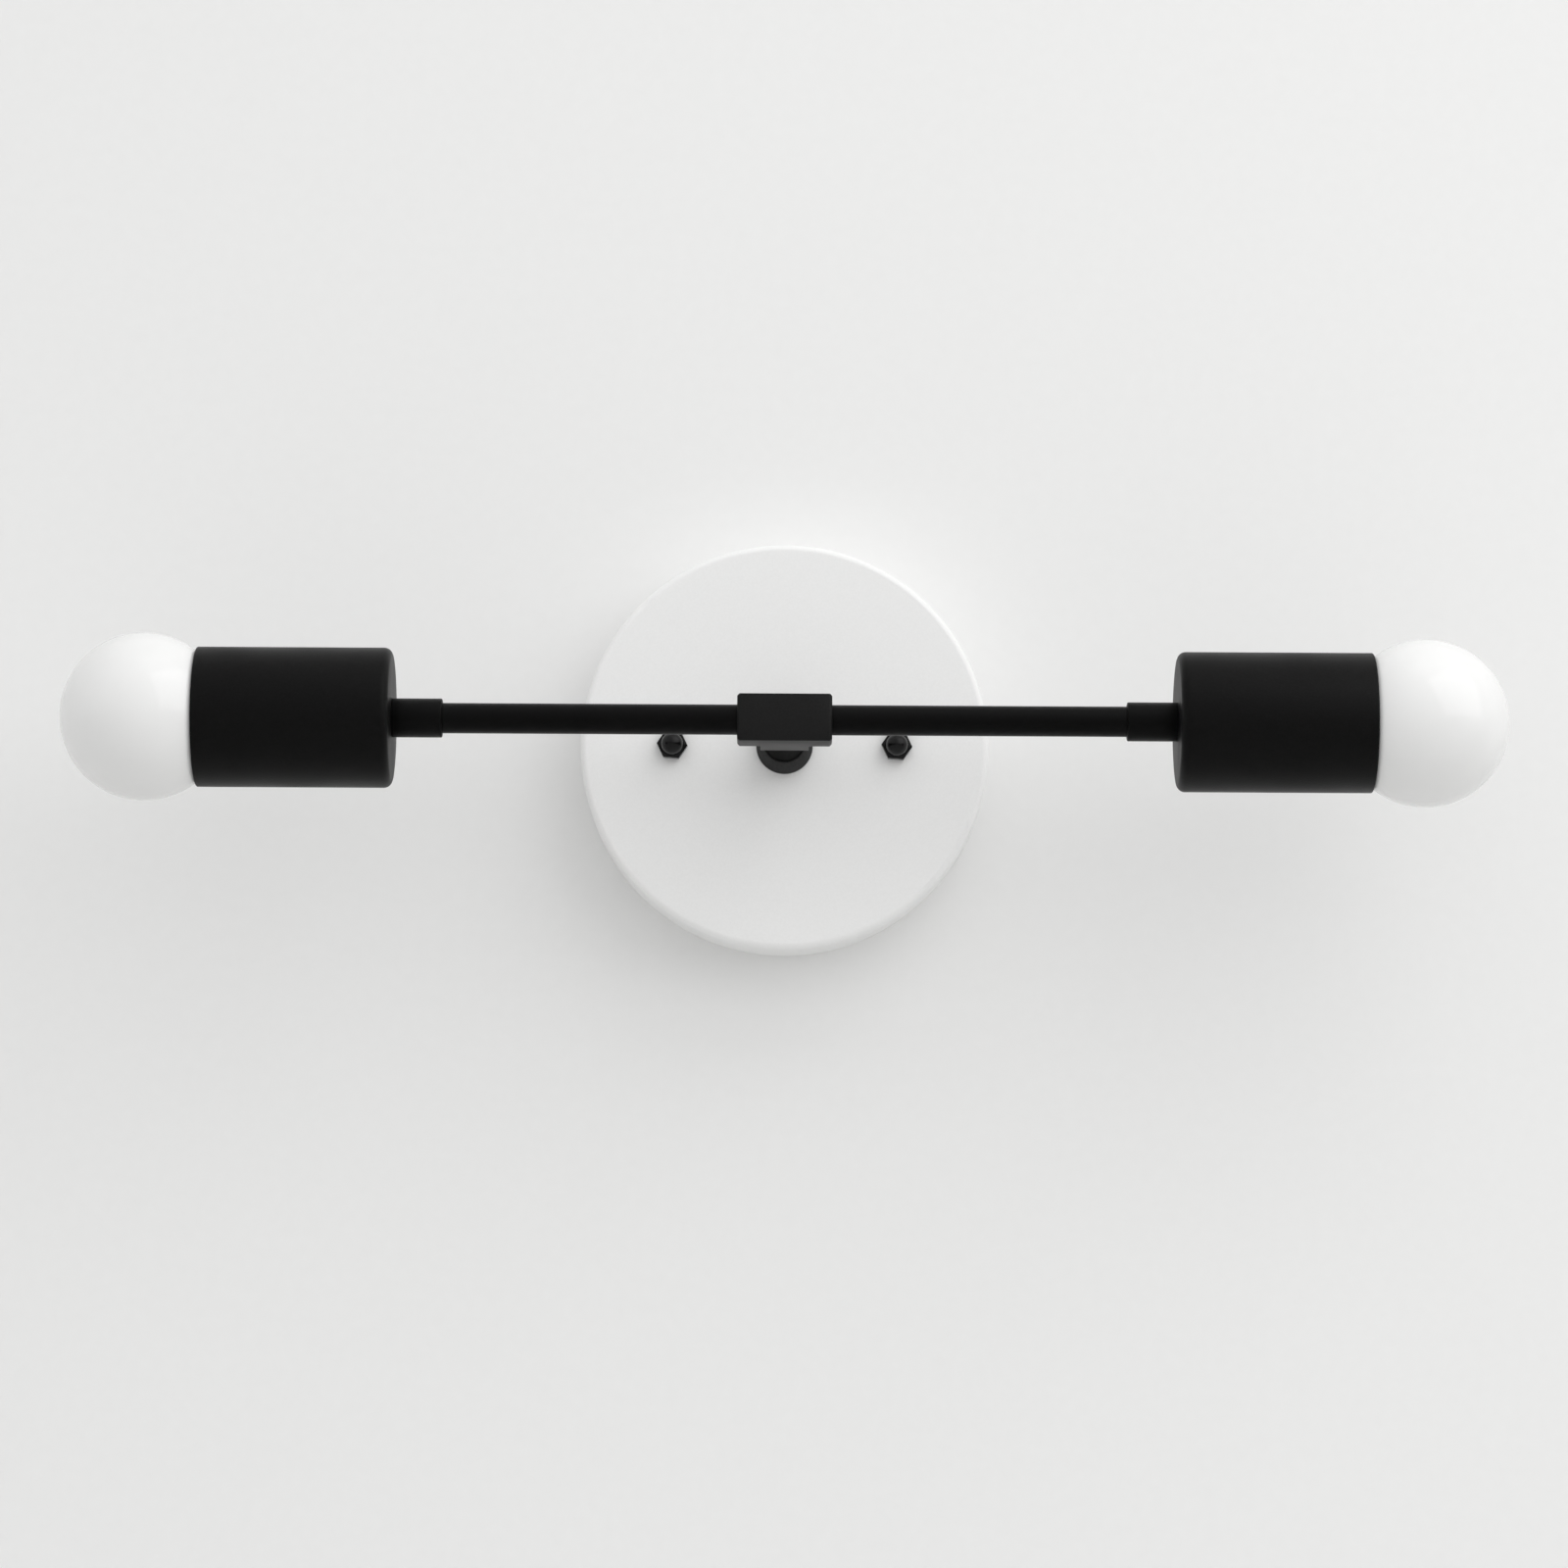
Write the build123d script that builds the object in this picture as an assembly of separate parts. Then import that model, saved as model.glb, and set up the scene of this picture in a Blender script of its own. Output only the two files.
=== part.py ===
from build123d import *
import os

# Two-light vanity bar: wall canopy, stem, tee block, two arms, cup lampholders and globe bulbs.
# Millimetres. The wall is the plane y = 0, the viewer stands at -Y, +X is right and +Z is up.
# The origin is the centre of the mounting crossbar's rear face.

# Canopy
canopy_diameter = 127.0
canopy_depth = 25.4
canopy_wall = 1.2
canopy_edge_radius = 2.0

# Stem and its collar
stem_diameter = 12.4
collar_base_diameter = 17.6
collar_tip_diameter = 13.6
collar_height = 12.5
collar_rim_height = 2.4
collar_floor = 2.0
collar_tip_radius = 0.3

# Tee block
arm_standoff = 88.9
block_length = 28.4
block_height = 14.2
block_depth = 14.2
block_chamfer = 1.0
block_edge_radius = 0.3
neck_width = 14.7
neck_reach = 17.3
block_passage = 7.0

# Lamp pipe: hollow threaded nipples with their nuts and lock washers
pipe_diameter = 9.9
pipe_bore = 6.5
pipe_in_block = 9.0
pipe_in_coupling = 6.5
pipe_past_nut = 1.5
pipe_nut_flats = 14.0
pipe_nut_height = 3.2
pipe_washer_diameter = 15.6
pipe_washer_thickness = 0.8

# Arms and couplings
arm_length = 88.3
arm_diameter = 9.1
arm_bore = 5.6
arm_thread_diameter = 7.9
arm_thread_length = 6.0
coupling_diameter = 11.7
coupling_length = 15.0
coupling_chamfer = 0.8
coupling_recess = 2.0
coupling_recess_gap = 0.3

# Socket cups
cup_diameter = 42.0
cup_length = 58.5
cup_wall = 0.9
cup_corner_radius = 2.4
cup_rim_radius = 0.5

# Lampholder in each cup
holder_floor = 5.0
holder_cavity_depth = 25.0
holder_edge_radius = 1.5
shell_wall = 0.5
shell_length = 22.0
shell_flange = 1.5
strip_width = 5.0
strip_thickness = 0.6
strip_bend_radius = 0.5
contact_height = 2.5
contact_gap = 0.1
contact_slot_height = 6.0
tongue_root = 3.5
tongue_end = -2.0

# Bracket that carries the lampholder
bracket_width = 12.0
bracket_thickness = 1.2
bracket_foot = 5.5
bracket_bend_radius = 1.2
bracket_past_screw = 3.4
bracket_screw_diameter = 3.0
bracket_screw_head_diameter = 5.6
bracket_screw_head_height = 1.8
bracket_screw_past_foot = 0.8

# Terminal screws on the back of the lampholder
terminal_offset = 9.5
terminal_diameter = 2.9
terminal_depth = 3.5
terminal_head_diameter = 6.0
terminal_head_height = 1.6

# Globe bulb with a 26 mm screw base
globe_diameter = 50.4
glass_thickness = 0.8
glass_neck_blend = 3.0
glass_neck_length = 0.5
glass_neck_in_base = 15.5
base_diameter = 26.1
base_length = 27.0
base_wall = 0.4
base_shoulder_height = 1.6
tip_diameter = 9.2
tip_height = 1.7
tip_stub_diameter = 4.4
tip_stub_length = 2.3
tip_edge_radius = 1.3
insulator_tip_diameter = 9.8
insulator_diameter = 21.2
insulator_cone_height = 3.2
insulator_lip = 1.6
flare_height = 5.0
flare_wall = 1.0
mount_diameter = 9.0
mount_length = 17.0
filament_wire = 0.7
filament_span = 18.0
filament_reach = 13.0
filament_foot_spacing = 4.0
filament_bend_radius = 2.0

# Leads and their splices
wire_diameter = 1.9
wire_spacing = 2.5
wire_bend = 4.0
splice_bend = 5.0
splice_depth = 11.0
wire_in_connector = 9.0
connector_distance = 24.0
connector_length = 19.0
connector_mouth_diameter = 11.0
connector_tip_diameter = 7.4
connector_bore = 5.6
connector_bore_depth = 12.0

# Crossbar and the screws on it
crossbar_length = 107.0
crossbar_width = 19.0
crossbar_thickness = 2.0
crossbar_corner_radius = 3.0
crossbar_hole = 10.5
slot_spacing = 88.9
slot_length = 9.0
slot_width = 4.6
stud_spacing = 69.85
stud_diameter = 4.1
stud_in_cap = 5.5
stud_nut_flats = 8.7
stud_nut_height = 3.0
cap_nut_flats = 8.3
cap_nut_hex_height = 3.4
cap_nut_height = 8.0
cap_nut_dome_diameter = 6.9
cap_nut_turn = -4.5

# Earth screw, lug and wire
earth_from_stud = 11.0
earth_screw_diameter = 4.8
earth_head_flats = 8.0
earth_head_height = 2.4
earth_wire_diameter = 1.3
earth_wire_bend = 2.5
lug_diameter = 14.4
lug_thickness = 0.8
lug_width = 4.0
lug_barrel_start = 8.6
lug_barrel_length = 3.2
lug_barrel_wall = 0.5

# Clearances, each on the radius or at one end
thread_clearance = 0.05
slip_clearance = 0.2
seat_clearance = 0.15
cavity_clearance = 0.4
running_clearance = 0.3
end_gap = 0.3
holder_gap = 1.6
mouth_gap = 0.47
neck_gap = 0.55
screw_head_gap = 0.95
lead_room = 0.9

# Places along Y, in front of the wall
arm_y = -arm_standoff
face_y = -canopy_depth
face_inner_y = face_y + canopy_wall
neck_rear_y = arm_y + neck_reach
lug_y = face_inner_y + lug_thickness
stem_nut_y = lug_y + pipe_washer_thickness
stem_pipe_end_y = stem_nut_y + pipe_nut_height + pipe_past_nut
splice_y = -splice_depth

# Places along X, out from the middle
block_end = block_length / 2
coupling_start = block_end + arm_length
arm_shoulder = coupling_start + coupling_recess
cup_start = coupling_start + coupling_length
cup_floor = cup_start + cup_wall
cup_rim = cup_start + cup_length
cup_nut_start = cup_floor + bracket_thickness + pipe_washer_thickness
cup_pipe_end = cup_nut_start + pipe_nut_height + pipe_past_nut

# Globe seated in the cup's mouth, and the lampholder behind it, clear of the nipple and the leads
globe_radius = globe_diameter / 2
glass_neck_radius = base_diameter / 2 - base_wall - neck_gap
lead_gap = wire_diameter + 2 * thread_clearance
mouth_radius = cup_diameter / 2 - cup_wall - mouth_gap
globe_past_rim = (globe_radius**2 - mouth_radius**2) ** 0.5
globe_to_blend = globe_radius + glass_neck_blend
neck_to_blend = glass_neck_radius + glass_neck_blend
blend_to_centre = (globe_to_blend**2 - neck_to_blend**2) ** 0.5
tip_to_centre = base_length + glass_neck_length + blend_to_centre
rear_to_tip = holder_floor + contact_height + contact_gap
rear_at_mouth = cup_rim + globe_past_rim - tip_to_centre - rear_to_tip
rear_past_leads = cup_pipe_end + lead_room + wire_diameter / 2 + lead_gap / 2 + strip_thickness
holder_rear = max(rear_at_mouth, rear_past_leads)
cavity_floor = holder_rear + holder_floor
holder_mouth = cavity_floor + holder_cavity_depth
bulb_tip = holder_rear + rear_to_tip
globe_centre = bulb_tip + tip_to_centre
skirt_end = bulb_tip + base_length
insulator_start = bulb_tip + tip_height
cone_end = insulator_start + insulator_cone_height
insulator_end = cone_end + insulator_lip
glass_start = skirt_end - glass_neck_in_base
flare_start = glass_start + glass_thickness
mount_end = flare_start + mount_length

# Radii that follow from a fit
pipe_radius = pipe_diameter / 2
pipe_hole_radius = pipe_radius + slip_clearance
pipe_thread_radius = pipe_radius + thread_clearance
arm_thread_radius = arm_thread_diameter / 2 + thread_clearance
base_radius = base_diameter / 2
shell_inner_radius = base_radius + running_clearance
shell_radius = shell_inner_radius + shell_wall
cavity_radius = shell_radius + cavity_clearance
holder_radius = cup_diameter / 2 - cup_wall - holder_gap
bracket_screw_offset = shell_inner_radius - bracket_screw_head_diameter / 2 - screw_head_gap
wire_offset = wire_spacing / 2

# Contact plates, leads under the terminal screws and the earth lug's barrel
plate_x = holder_rear - strip_thickness / 2
plate_outer = terminal_offset + terminal_head_diameter / 2
plate_inner = terminal_offset - terminal_head_diameter / 2
shell_tab_height = -shell_inner_radius - shell_wall / 2
earth_gap = earth_wire_diameter + 2 * thread_clearance
lug_bore_radius = earth_wire_diameter / 2 + thread_clearance
lug_barrel_radius = lug_bore_radius + lug_barrel_wall
barrel_y = face_inner_y + lug_barrel_radius + thread_clearance
lug_barrel_end = lug_barrel_start + lug_barrel_length
earth_x = stud_spacing / 2 - earth_from_stud


def outline(points, rounded=()):
    """Closed flat outline; rounded holds pairs of a corner point and its radius."""
    face = make_face(Polyline(*points, close=True))
    for corner, radius in rounded:
        face = fillet(face.vertices().sort_by_distance(Vector(*corner))[0], radius)
    return face


def turned_on_x(points, rounded=()):
    """Solid of revolution about X from corners given as (x, radius)."""
    return revolve(outline(points, rounded), Axis.X)


def turned_on_y(points, rounded=()):
    """Solid of revolution about Y from corners given as (radius, y)."""
    return revolve(outline(points, rounded), Axis.Y)


def rod_on_x(diameter, start, end):
    """Round rod along X."""
    return Pos((start + end) / 2, 0, 0) * Rot(0, 90, 0) * Cylinder(diameter / 2, abs(end - start))


def rod_on_y(diameter, start, end):
    """Round rod along Y."""
    return Pos(0, (start + end) / 2, 0) * Rot(90, 0, 0) * Cylinder(diameter / 2, abs(end - start))


def hexagon_on_y(flats, start, end, turn=0):
    """Hexagonal prism along Y with a flat facing down, then turned anticlockwise as the viewer sees it."""
    prism = extrude(RegularPolygon(flats / 2, 6, major_radius=False), abs(end - start) / 2, both=True)
    return Pos(0, (start + end) / 2, 0) * Rot(90, 0, 0) * Rot(0, 0, turn) * prism


def wire_along(points, radii, diameter):
    """Round wire through the points, with a tangent arc of its own radius at each corner."""
    path = FilletPolyline(*points, radius=radii)
    return sweep(Plane(origin=path @ 0, z_dir=path % 0) * Circle(diameter / 2), path)


def strip_along(points, bend_radius, thickness, width):
    """Bent sheet strip whose middle follows the points in the XY plane, its width along Z."""
    path = FilletPolyline(*points, radius=[bend_radius] * (len(points) - 2))
    section = Plane(origin=path @ 0, x_dir=(0, 0, 1), z_dir=path % 0) * Rectangle(width, thickness)
    return sweep(section, path)


def on_arm(shape):
    """Moves a shape built about the X axis onto the axis of the arms."""
    return Pos(0, arm_y, 0) * shape


def pair_on_x(shape, spacing):
    """Two copies of a shape, apart along X by the spacing."""
    return [Pos(-spacing / 2, 0, 0) * shape, Pos(spacing / 2, 0, 0) * shape]


def pair_above_and_below(shape, distance):
    """Two copies of a shape, each the distance from the arm's axis along Z."""
    return [Pos(0, 0, side * distance) * shape for side in (-1, 1)]


def pair_before_and_behind(shape, distance):
    """Two copies of a shape, each the distance from the arm's axis along Y."""
    return [Pos(0, side * distance, 0) * shape for side in (-1, 1)]


def canopy():
    """Pressed round pan, open at the wall."""
    radius = canopy_diameter / 2
    inner = radius - canopy_wall
    edge = (radius, face_y)
    inner_edge = (inner, face_inner_y)
    points = [(pipe_hole_radius, face_y), edge, (radius, 0), (inner, 0), inner_edge,
              (pipe_hole_radius, face_inner_y)]
    pan = turned_on_y(points, [(edge, canopy_edge_radius), (inner_edge, canopy_edge_radius - canopy_wall)])
    return pan - pair_on_x(rod_on_y(stud_diameter + 2 * slip_clearance, face_y, face_inner_y), stud_spacing)


def stem_collar():
    """Cone over the foot of the stem, with a floor that the stem clamps to the canopy."""
    base = collar_base_diameter / 2
    bore = stem_diameter / 2 + seat_clearance
    tip_y = face_y - collar_height
    floor_y = face_y - collar_floor
    tip = (collar_tip_diameter / 2, tip_y)
    points = [(pipe_hole_radius, face_y), (base, face_y), (base, face_y - collar_rim_height), tip,
              (bore, tip_y), (bore, floor_y), (pipe_hole_radius, floor_y)]
    return turned_on_y(points, [(tip, collar_tip_radius)])


def stem_tube():
    """Tube over the long nipple, which spaces the block off the collar."""
    start = face_y - collar_floor
    return rod_on_y(stem_diameter, start, neck_rear_y) - rod_on_y(2 * pipe_hole_radius, start, neck_rear_y)


def stem_nipple():
    """Long hollow nipple from the block through stem, collar and canopy."""
    start = neck_rear_y - pipe_in_block
    return rod_on_y(pipe_diameter, start, stem_pipe_end_y) - rod_on_y(pipe_bore, start, stem_pipe_end_y)


def stem_nut():
    """Hexagon nut that draws the stem onto the canopy from inside."""
    end = stem_nut_y + pipe_nut_height
    return hexagon_on_y(pipe_nut_flats, stem_nut_y, end) - rod_on_y(2 * pipe_thread_radius, stem_nut_y, end)


def stem_lock_washer():
    """Lock washer between the stem nut and the earth lug."""
    ring = rod_on_y(pipe_washer_diameter, lug_y, stem_nut_y)
    return ring - rod_on_y(2 * pipe_hole_radius, lug_y, stem_nut_y)


def tee_block():
    """Square bar with a neck behind it, bored and tapped three ways."""
    bar = Box(block_length, block_depth, block_height)
    bar = chamfer(bar.faces().filter_by(Axis.X).edges(), block_chamfer)
    bar = fillet(bar.edges().filter_by(Axis.X), block_edge_radius)
    neck_length = neck_reach - block_depth / 2
    neck = Pos(0, block_depth / 2 + neck_length / 2, 0) * Box(neck_width, neck_length, block_height)
    thread_end = block_end - arm_thread_length - end_gap
    block = bar + neck
    block -= rod_on_x(block_passage, -block_end, block_end)
    block -= rod_on_y(pipe_bore, 0, neck_reach)
    block -= rod_on_y(2 * pipe_thread_radius, neck_reach - pipe_in_block - end_gap, neck_reach)
    block -= rod_on_x(2 * arm_thread_radius, thread_end, block_end)
    block -= rod_on_x(2 * arm_thread_radius, -block_end, -thread_end)
    return on_arm(block)


def arm_tube():
    """Tube with a threaded spigot at each end."""
    inner_tip = block_end - arm_thread_length
    outer_tip = arm_shoulder + arm_thread_length
    tube = rod_on_x(arm_diameter, block_end, arm_shoulder)
    tube += rod_on_x(arm_thread_diameter, inner_tip, outer_tip)
    return on_arm(tube - rod_on_x(arm_bore, inner_tip, outer_tip))


def arm_coupling():
    """Turned coupling from the arm's thread to the cup's nipple, recessed around the tube."""
    radius = coupling_diameter / 2
    mouth = arm_diameter / 2 + coupling_recess_gap
    pipe_stop = cup_start - pipe_in_coupling - end_gap
    points = [(coupling_start, mouth), (coupling_start, radius - coupling_chamfer),
              (coupling_start + coupling_chamfer, radius), (cup_start, radius),
              (cup_start, pipe_thread_radius), (pipe_stop, pipe_thread_radius),
              (pipe_stop, arm_thread_radius), (arm_shoulder, arm_thread_radius), (arm_shoulder, mouth)]
    return on_arm(turned_on_x(points))


def socket_cup():
    """Spun cup with a rounded closed end and an open mouth."""
    radius = cup_diameter / 2
    inner = radius - cup_wall
    corner = (cup_start, radius)
    rim = (cup_rim, radius)
    inner_corner = (cup_floor, inner)
    points = [(cup_start, pipe_hole_radius), corner, rim, (cup_rim, inner), inner_corner,
              (cup_floor, pipe_hole_radius)]
    rounded = [(corner, cup_corner_radius), (rim, cup_rim_radius),
               (inner_corner, cup_corner_radius - cup_wall)]
    return on_arm(turned_on_x(points, rounded))


def cup_nipple():
    """Short hollow nipple from the coupling into the cup."""
    start = cup_start - pipe_in_coupling
    return on_arm(rod_on_x(pipe_diameter, start, cup_pipe_end) - rod_on_x(pipe_bore, start, cup_pipe_end))


def cup_nut():
    """Hexagon nut that clamps the bracket and the cup to the coupling."""
    end = cup_nut_start + pipe_nut_height
    prism = Rot(0, 0, -90) * hexagon_on_y(pipe_nut_flats, cup_nut_start, end)
    return on_arm(prism - rod_on_x(2 * pipe_thread_radius, cup_nut_start, end))


def cup_lock_washer():
    """Lock washer under the cup nut."""
    start = cup_nut_start - pipe_washer_thickness
    ring = rod_on_x(pipe_washer_diameter, start, cup_nut_start)
    return on_arm(ring - rod_on_x(2 * pipe_hole_radius, start, cup_nut_start))


def socket_bracket():
    """Bridge of bent strip: a web on the cup's floor and two legs with feet under the lampholder."""
    middle = bracket_thickness / 2
    half = bracket_screw_offset + bracket_past_screw - middle
    foot_end = half - bracket_foot
    web_x = cup_floor + middle
    foot_x = holder_rear - middle
    points = [(foot_x, foot_end), (foot_x, half), (web_x, half), (web_x, -half), (foot_x, -half),
              (foot_x, -foot_end)]
    bridge = strip_along(points, bracket_bend_radius, bracket_thickness, bracket_width)
    bridge -= rod_on_x(2 * pipe_hole_radius, cup_floor, cup_floor + bracket_thickness)
    tapped = rod_on_x(bracket_screw_diameter + 2 * thread_clearance, holder_rear - bracket_thickness,
                      holder_rear)
    return on_arm(bridge - pair_before_and_behind(tapped, bracket_screw_offset))


def bracket_screws():
    """Two screws from the lampholder's cavity into the bracket's feet, heads on the shell's flange."""
    seat = cavity_floor + shell_wall
    tip = holder_rear - bracket_thickness - bracket_screw_past_foot
    screw = rod_on_x(bracket_screw_diameter, tip, seat)
    screw += rod_on_x(bracket_screw_head_diameter, seat, seat + bracket_screw_head_height)
    return [on_arm(one) for one in pair_before_and_behind(screw, bracket_screw_offset)]


def strip_slot(height):
    """Slot through the lampholder's floor for a contact strip at the given height."""
    slot = Box(holder_floor, strip_width + 2 * slip_clearance, strip_thickness + 2 * slip_clearance)
    return Pos(holder_rear + holder_floor / 2, 0, height) * slot


def lampholder_body():
    """Glazed porcelain pot with a cavity for the screw shell."""
    rear_corner = (holder_rear, holder_radius)
    mouth_corner = (holder_mouth, holder_radius)
    points = [(holder_rear, 0), rear_corner, mouth_corner, (holder_mouth, cavity_radius),
              (cavity_floor, cavity_radius), (cavity_floor, 0)]
    body = turned_on_x(points, [(rear_corner, holder_edge_radius), (mouth_corner, holder_edge_radius)])
    body -= strip_slot(contact_slot_height)
    body -= strip_slot(shell_tab_height)
    screw_hole = rod_on_x(bracket_screw_diameter + 2 * slip_clearance, holder_rear, cavity_floor)
    terminal_hole = rod_on_x(terminal_diameter + 2 * thread_clearance, holder_rear,
                             holder_rear + terminal_depth + end_gap)
    body -= pair_before_and_behind(screw_hole, bracket_screw_offset)
    body -= pair_above_and_below(terminal_hole, terminal_offset)
    return on_arm(body)


def upright_strip(points):
    """Bent contact strip whose middle follows points given as (x, z)."""
    return Rot(90, 0, 0) * strip_along(points, strip_bend_radius, strip_thickness, strip_width)


def terminal_plate_holes():
    """Clearance for the terminal screws through the plates under their heads."""
    hole = rod_on_x(terminal_diameter + 2 * slip_clearance, holder_rear - strip_thickness, holder_rear)
    return pair_above_and_below(hole, terminal_offset)


def lampholder_contact():
    """Spring strip from the live terminal through the floor to a tongue in the middle of the cavity."""
    floor_x = cavity_floor + strip_thickness / 2
    tongue_x = cavity_floor + contact_height - strip_thickness / 2
    points = [(plate_x, plate_outer), (plate_x, contact_slot_height), (floor_x, contact_slot_height),
              (floor_x, tongue_root), (tongue_x, 0), (tongue_x, tongue_end)]
    return on_arm(upright_strip(points) - terminal_plate_holes())


def lampholder_shell():
    """Screw shell with an inward flange and a tab through the floor to the neutral terminal."""
    flange_radius = shell_inner_radius - shell_flange
    shell_end = cavity_floor + shell_length
    flange_top = cavity_floor + shell_wall
    points = [(cavity_floor, flange_radius), (cavity_floor, shell_radius), (shell_end, shell_radius),
              (shell_end, shell_inner_radius), (flange_top, shell_inner_radius),
              (flange_top, flange_radius)]
    tab_points = [(flange_top, shell_tab_height), (plate_x, shell_tab_height), (plate_x, -plate_inner)]
    return on_arm(turned_on_x(points) + upright_strip(tab_points) - terminal_plate_holes())


def terminal_screws():
    """Two binding screws that hold the leads on the plates behind the lampholder."""
    head_seat = plate_x - strip_thickness / 2 - lead_gap
    screw = rod_on_x(terminal_diameter, head_seat, holder_rear + terminal_depth)
    screw += rod_on_x(terminal_head_diameter, head_seat - terminal_head_height, head_seat)
    return [on_arm(one) for one in pair_above_and_below(screw, terminal_offset)]


def lead_wire(side):
    """Lead from a terminal through cup, arm, block and stem to the splice in the canopy."""
    terminal_x = plate_x - strip_thickness / 2 - lead_gap / 2
    terminal_z = side * (terminal_offset - terminal_diameter / 2 - end_gap)
    run_z = side * wire_offset
    splice_z = side * (connector_distance + wire_in_connector)
    points = [(terminal_x, arm_y, terminal_z), (terminal_x, arm_y, run_z), (wire_offset, arm_y, run_z),
              (wire_offset, splice_y, run_z), (wire_offset, splice_y, splice_z)]
    return wire_along(points, [wire_bend, wire_bend, splice_bend], wire_diameter)


def globe_solid(radius, neck_radius, start, blend):
    """Sphere on a round neck, with the corner between them blended."""
    length = globe_centre - start
    neck = Pos(start + length / 2, neck_radius / 2) * Rectangle(length, neck_radius)
    half = Pos(globe_centre, radius) * Rectangle(2 * radius, 2 * radius)
    face = (Pos(globe_centre, 0) * Circle(radius) & half) + neck
    corner = Vector(globe_centre - (radius**2 - neck_radius**2) ** 0.5, neck_radius)
    return revolve(fillet(face.vertices().sort_by_distance(corner)[0], blend), Axis.X)


def bulb_globe():
    """Blown glass globe, open at the end of its neck."""
    outer = globe_solid(globe_radius, glass_neck_radius, glass_start, glass_neck_blend)
    inner = globe_solid(globe_radius - glass_thickness, glass_neck_radius - glass_thickness,
                        glass_start - end_gap, glass_neck_blend + glass_thickness)
    return on_arm(outer - inner)


def bulb_shell():
    """Screw shell of the bulb's base, drawn in at its lower end."""
    inner = base_radius - base_wall
    lip = insulator_diameter / 2 + thread_clearance
    shoulder_end = cone_end + base_shoulder_height
    points = [(skirt_end, base_radius), (shoulder_end, base_radius), (cone_end, lip + base_wall),
              (cone_end, lip), (shoulder_end + base_wall / 2, inner), (skirt_end, inner)]
    return on_arm(turned_on_x(points))


def bulb_insulator():
    """Black glass cone between the base's shell and its tip."""
    bore = tip_stub_diameter / 2 + thread_clearance
    points = [(insulator_start, bore), (insulator_start, insulator_tip_diameter / 2),
              (cone_end, insulator_diameter / 2), (insulator_end, insulator_diameter / 2),
              (insulator_end, bore)]
    return on_arm(turned_on_x(points))


def bulb_tip_contact():
    """Rounded tip contact with a stub in the insulator."""
    corner = (bulb_tip, tip_diameter / 2)
    stub = tip_stub_diameter / 2
    stub_end = insulator_start + tip_stub_length
    points = [(bulb_tip, 0), corner, (insulator_start, tip_diameter / 2), (insulator_start, stub),
              (stub_end, stub), (stub_end, 0)]
    return on_arm(turned_on_x(points, [(corner, tip_edge_radius)]))


def bulb_mount():
    """Glass stem with a flared foot in the globe's neck."""
    flare_radius = glass_neck_radius - glass_thickness - thread_clearance
    stem_radius = mount_diameter / 2
    flare_end = flare_start + flare_height
    points = [(flare_start, flare_radius), (flare_end, stem_radius), (mount_end, stem_radius),
              (mount_end, 0), (flare_end, 0), (flare_start, flare_radius - flare_wall)]
    return on_arm(turned_on_x(points))


def bulb_filament():
    """Two supports on the glass stem with the filament between them."""
    foot_x = mount_end + end_gap
    foot_z = filament_foot_spacing / 2
    top_x = foot_x + filament_reach
    top_z = filament_span / 2
    points = [(foot_x, 0, -foot_z), (top_x, 0, -top_z), (top_x, 0, top_z), (foot_x, 0, foot_z)]
    return on_arm(wire_along(points, [filament_bend_radius] * 2, filament_wire))


def wire_connectors():
    """Two closed twist-on caps over the spliced ends of the leads."""
    middle = connector_distance + connector_length / 2
    cone = Cone(connector_mouth_diameter / 2, connector_tip_diameter / 2, connector_length)
    bore = Cylinder(connector_bore / 2, connector_bore_depth)
    bore_middle = connector_distance + connector_bore_depth / 2
    cap = Pos(0, splice_y, middle) * cone - Pos(0, splice_y, bore_middle) * bore
    return [cap, mirror(cap, about=Plane.XY)]


def crossbar():
    """Flat steel strap behind the canopy, slotted for the outlet box and tapped for its screws."""
    plate = RectangleRounded(crossbar_length, crossbar_width, crossbar_corner_radius)
    plate -= Circle(crossbar_hole / 2)
    plate -= Pos(earth_x, 0) * Circle(earth_screw_diameter / 2 + thread_clearance)
    for side in (-1, 1):
        plate -= Pos(side * slot_spacing / 2, 0) * SlotOverall(slot_length, slot_width)
        plate -= Pos(side * stud_spacing / 2, 0) * Circle(stud_diameter / 2 + thread_clearance)
    return Rot(90, 0, 0) * extrude(plate, crossbar_thickness)


def mounting_studs():
    """Two threaded studs from the crossbar through the canopy."""
    return pair_on_x(rod_on_y(stud_diameter, 0, face_y - stud_in_cap), stud_spacing)


def stud_nuts():
    """Nuts that lock the studs on the crossbar."""
    start = -crossbar_thickness
    nut = hexagon_on_y(stud_nut_flats, start, start - stud_nut_height)
    nut -= rod_on_y(stud_diameter + 2 * thread_clearance, start, start - stud_nut_height)
    return pair_on_x(nut, stud_spacing)


def cap_nuts():
    """Domed nuts that hold the canopy on its studs."""
    dome_radius = cap_nut_dome_diameter / 2
    dome_y = face_y - cap_nut_height + dome_radius
    nut = hexagon_on_y(cap_nut_flats, face_y, face_y - cap_nut_hex_height, cap_nut_turn)
    nut += rod_on_y(cap_nut_dome_diameter, face_y, dome_y)
    nut += Pos(0, dome_y, 0) * Sphere(dome_radius)
    nut -= rod_on_y(stud_diameter + 2 * thread_clearance, face_y, face_y - stud_in_cap - end_gap)
    return pair_on_x(nut, stud_spacing)


def earth_screw():
    """Hexagon-headed screw on the crossbar for the earth wires."""
    head_y = -crossbar_thickness - earth_gap
    screw = rod_on_y(earth_screw_diameter, 0, head_y)
    screw += hexagon_on_y(earth_head_flats, head_y, head_y - earth_head_height)
    return Pos(earth_x, 0, 0) * screw


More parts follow.
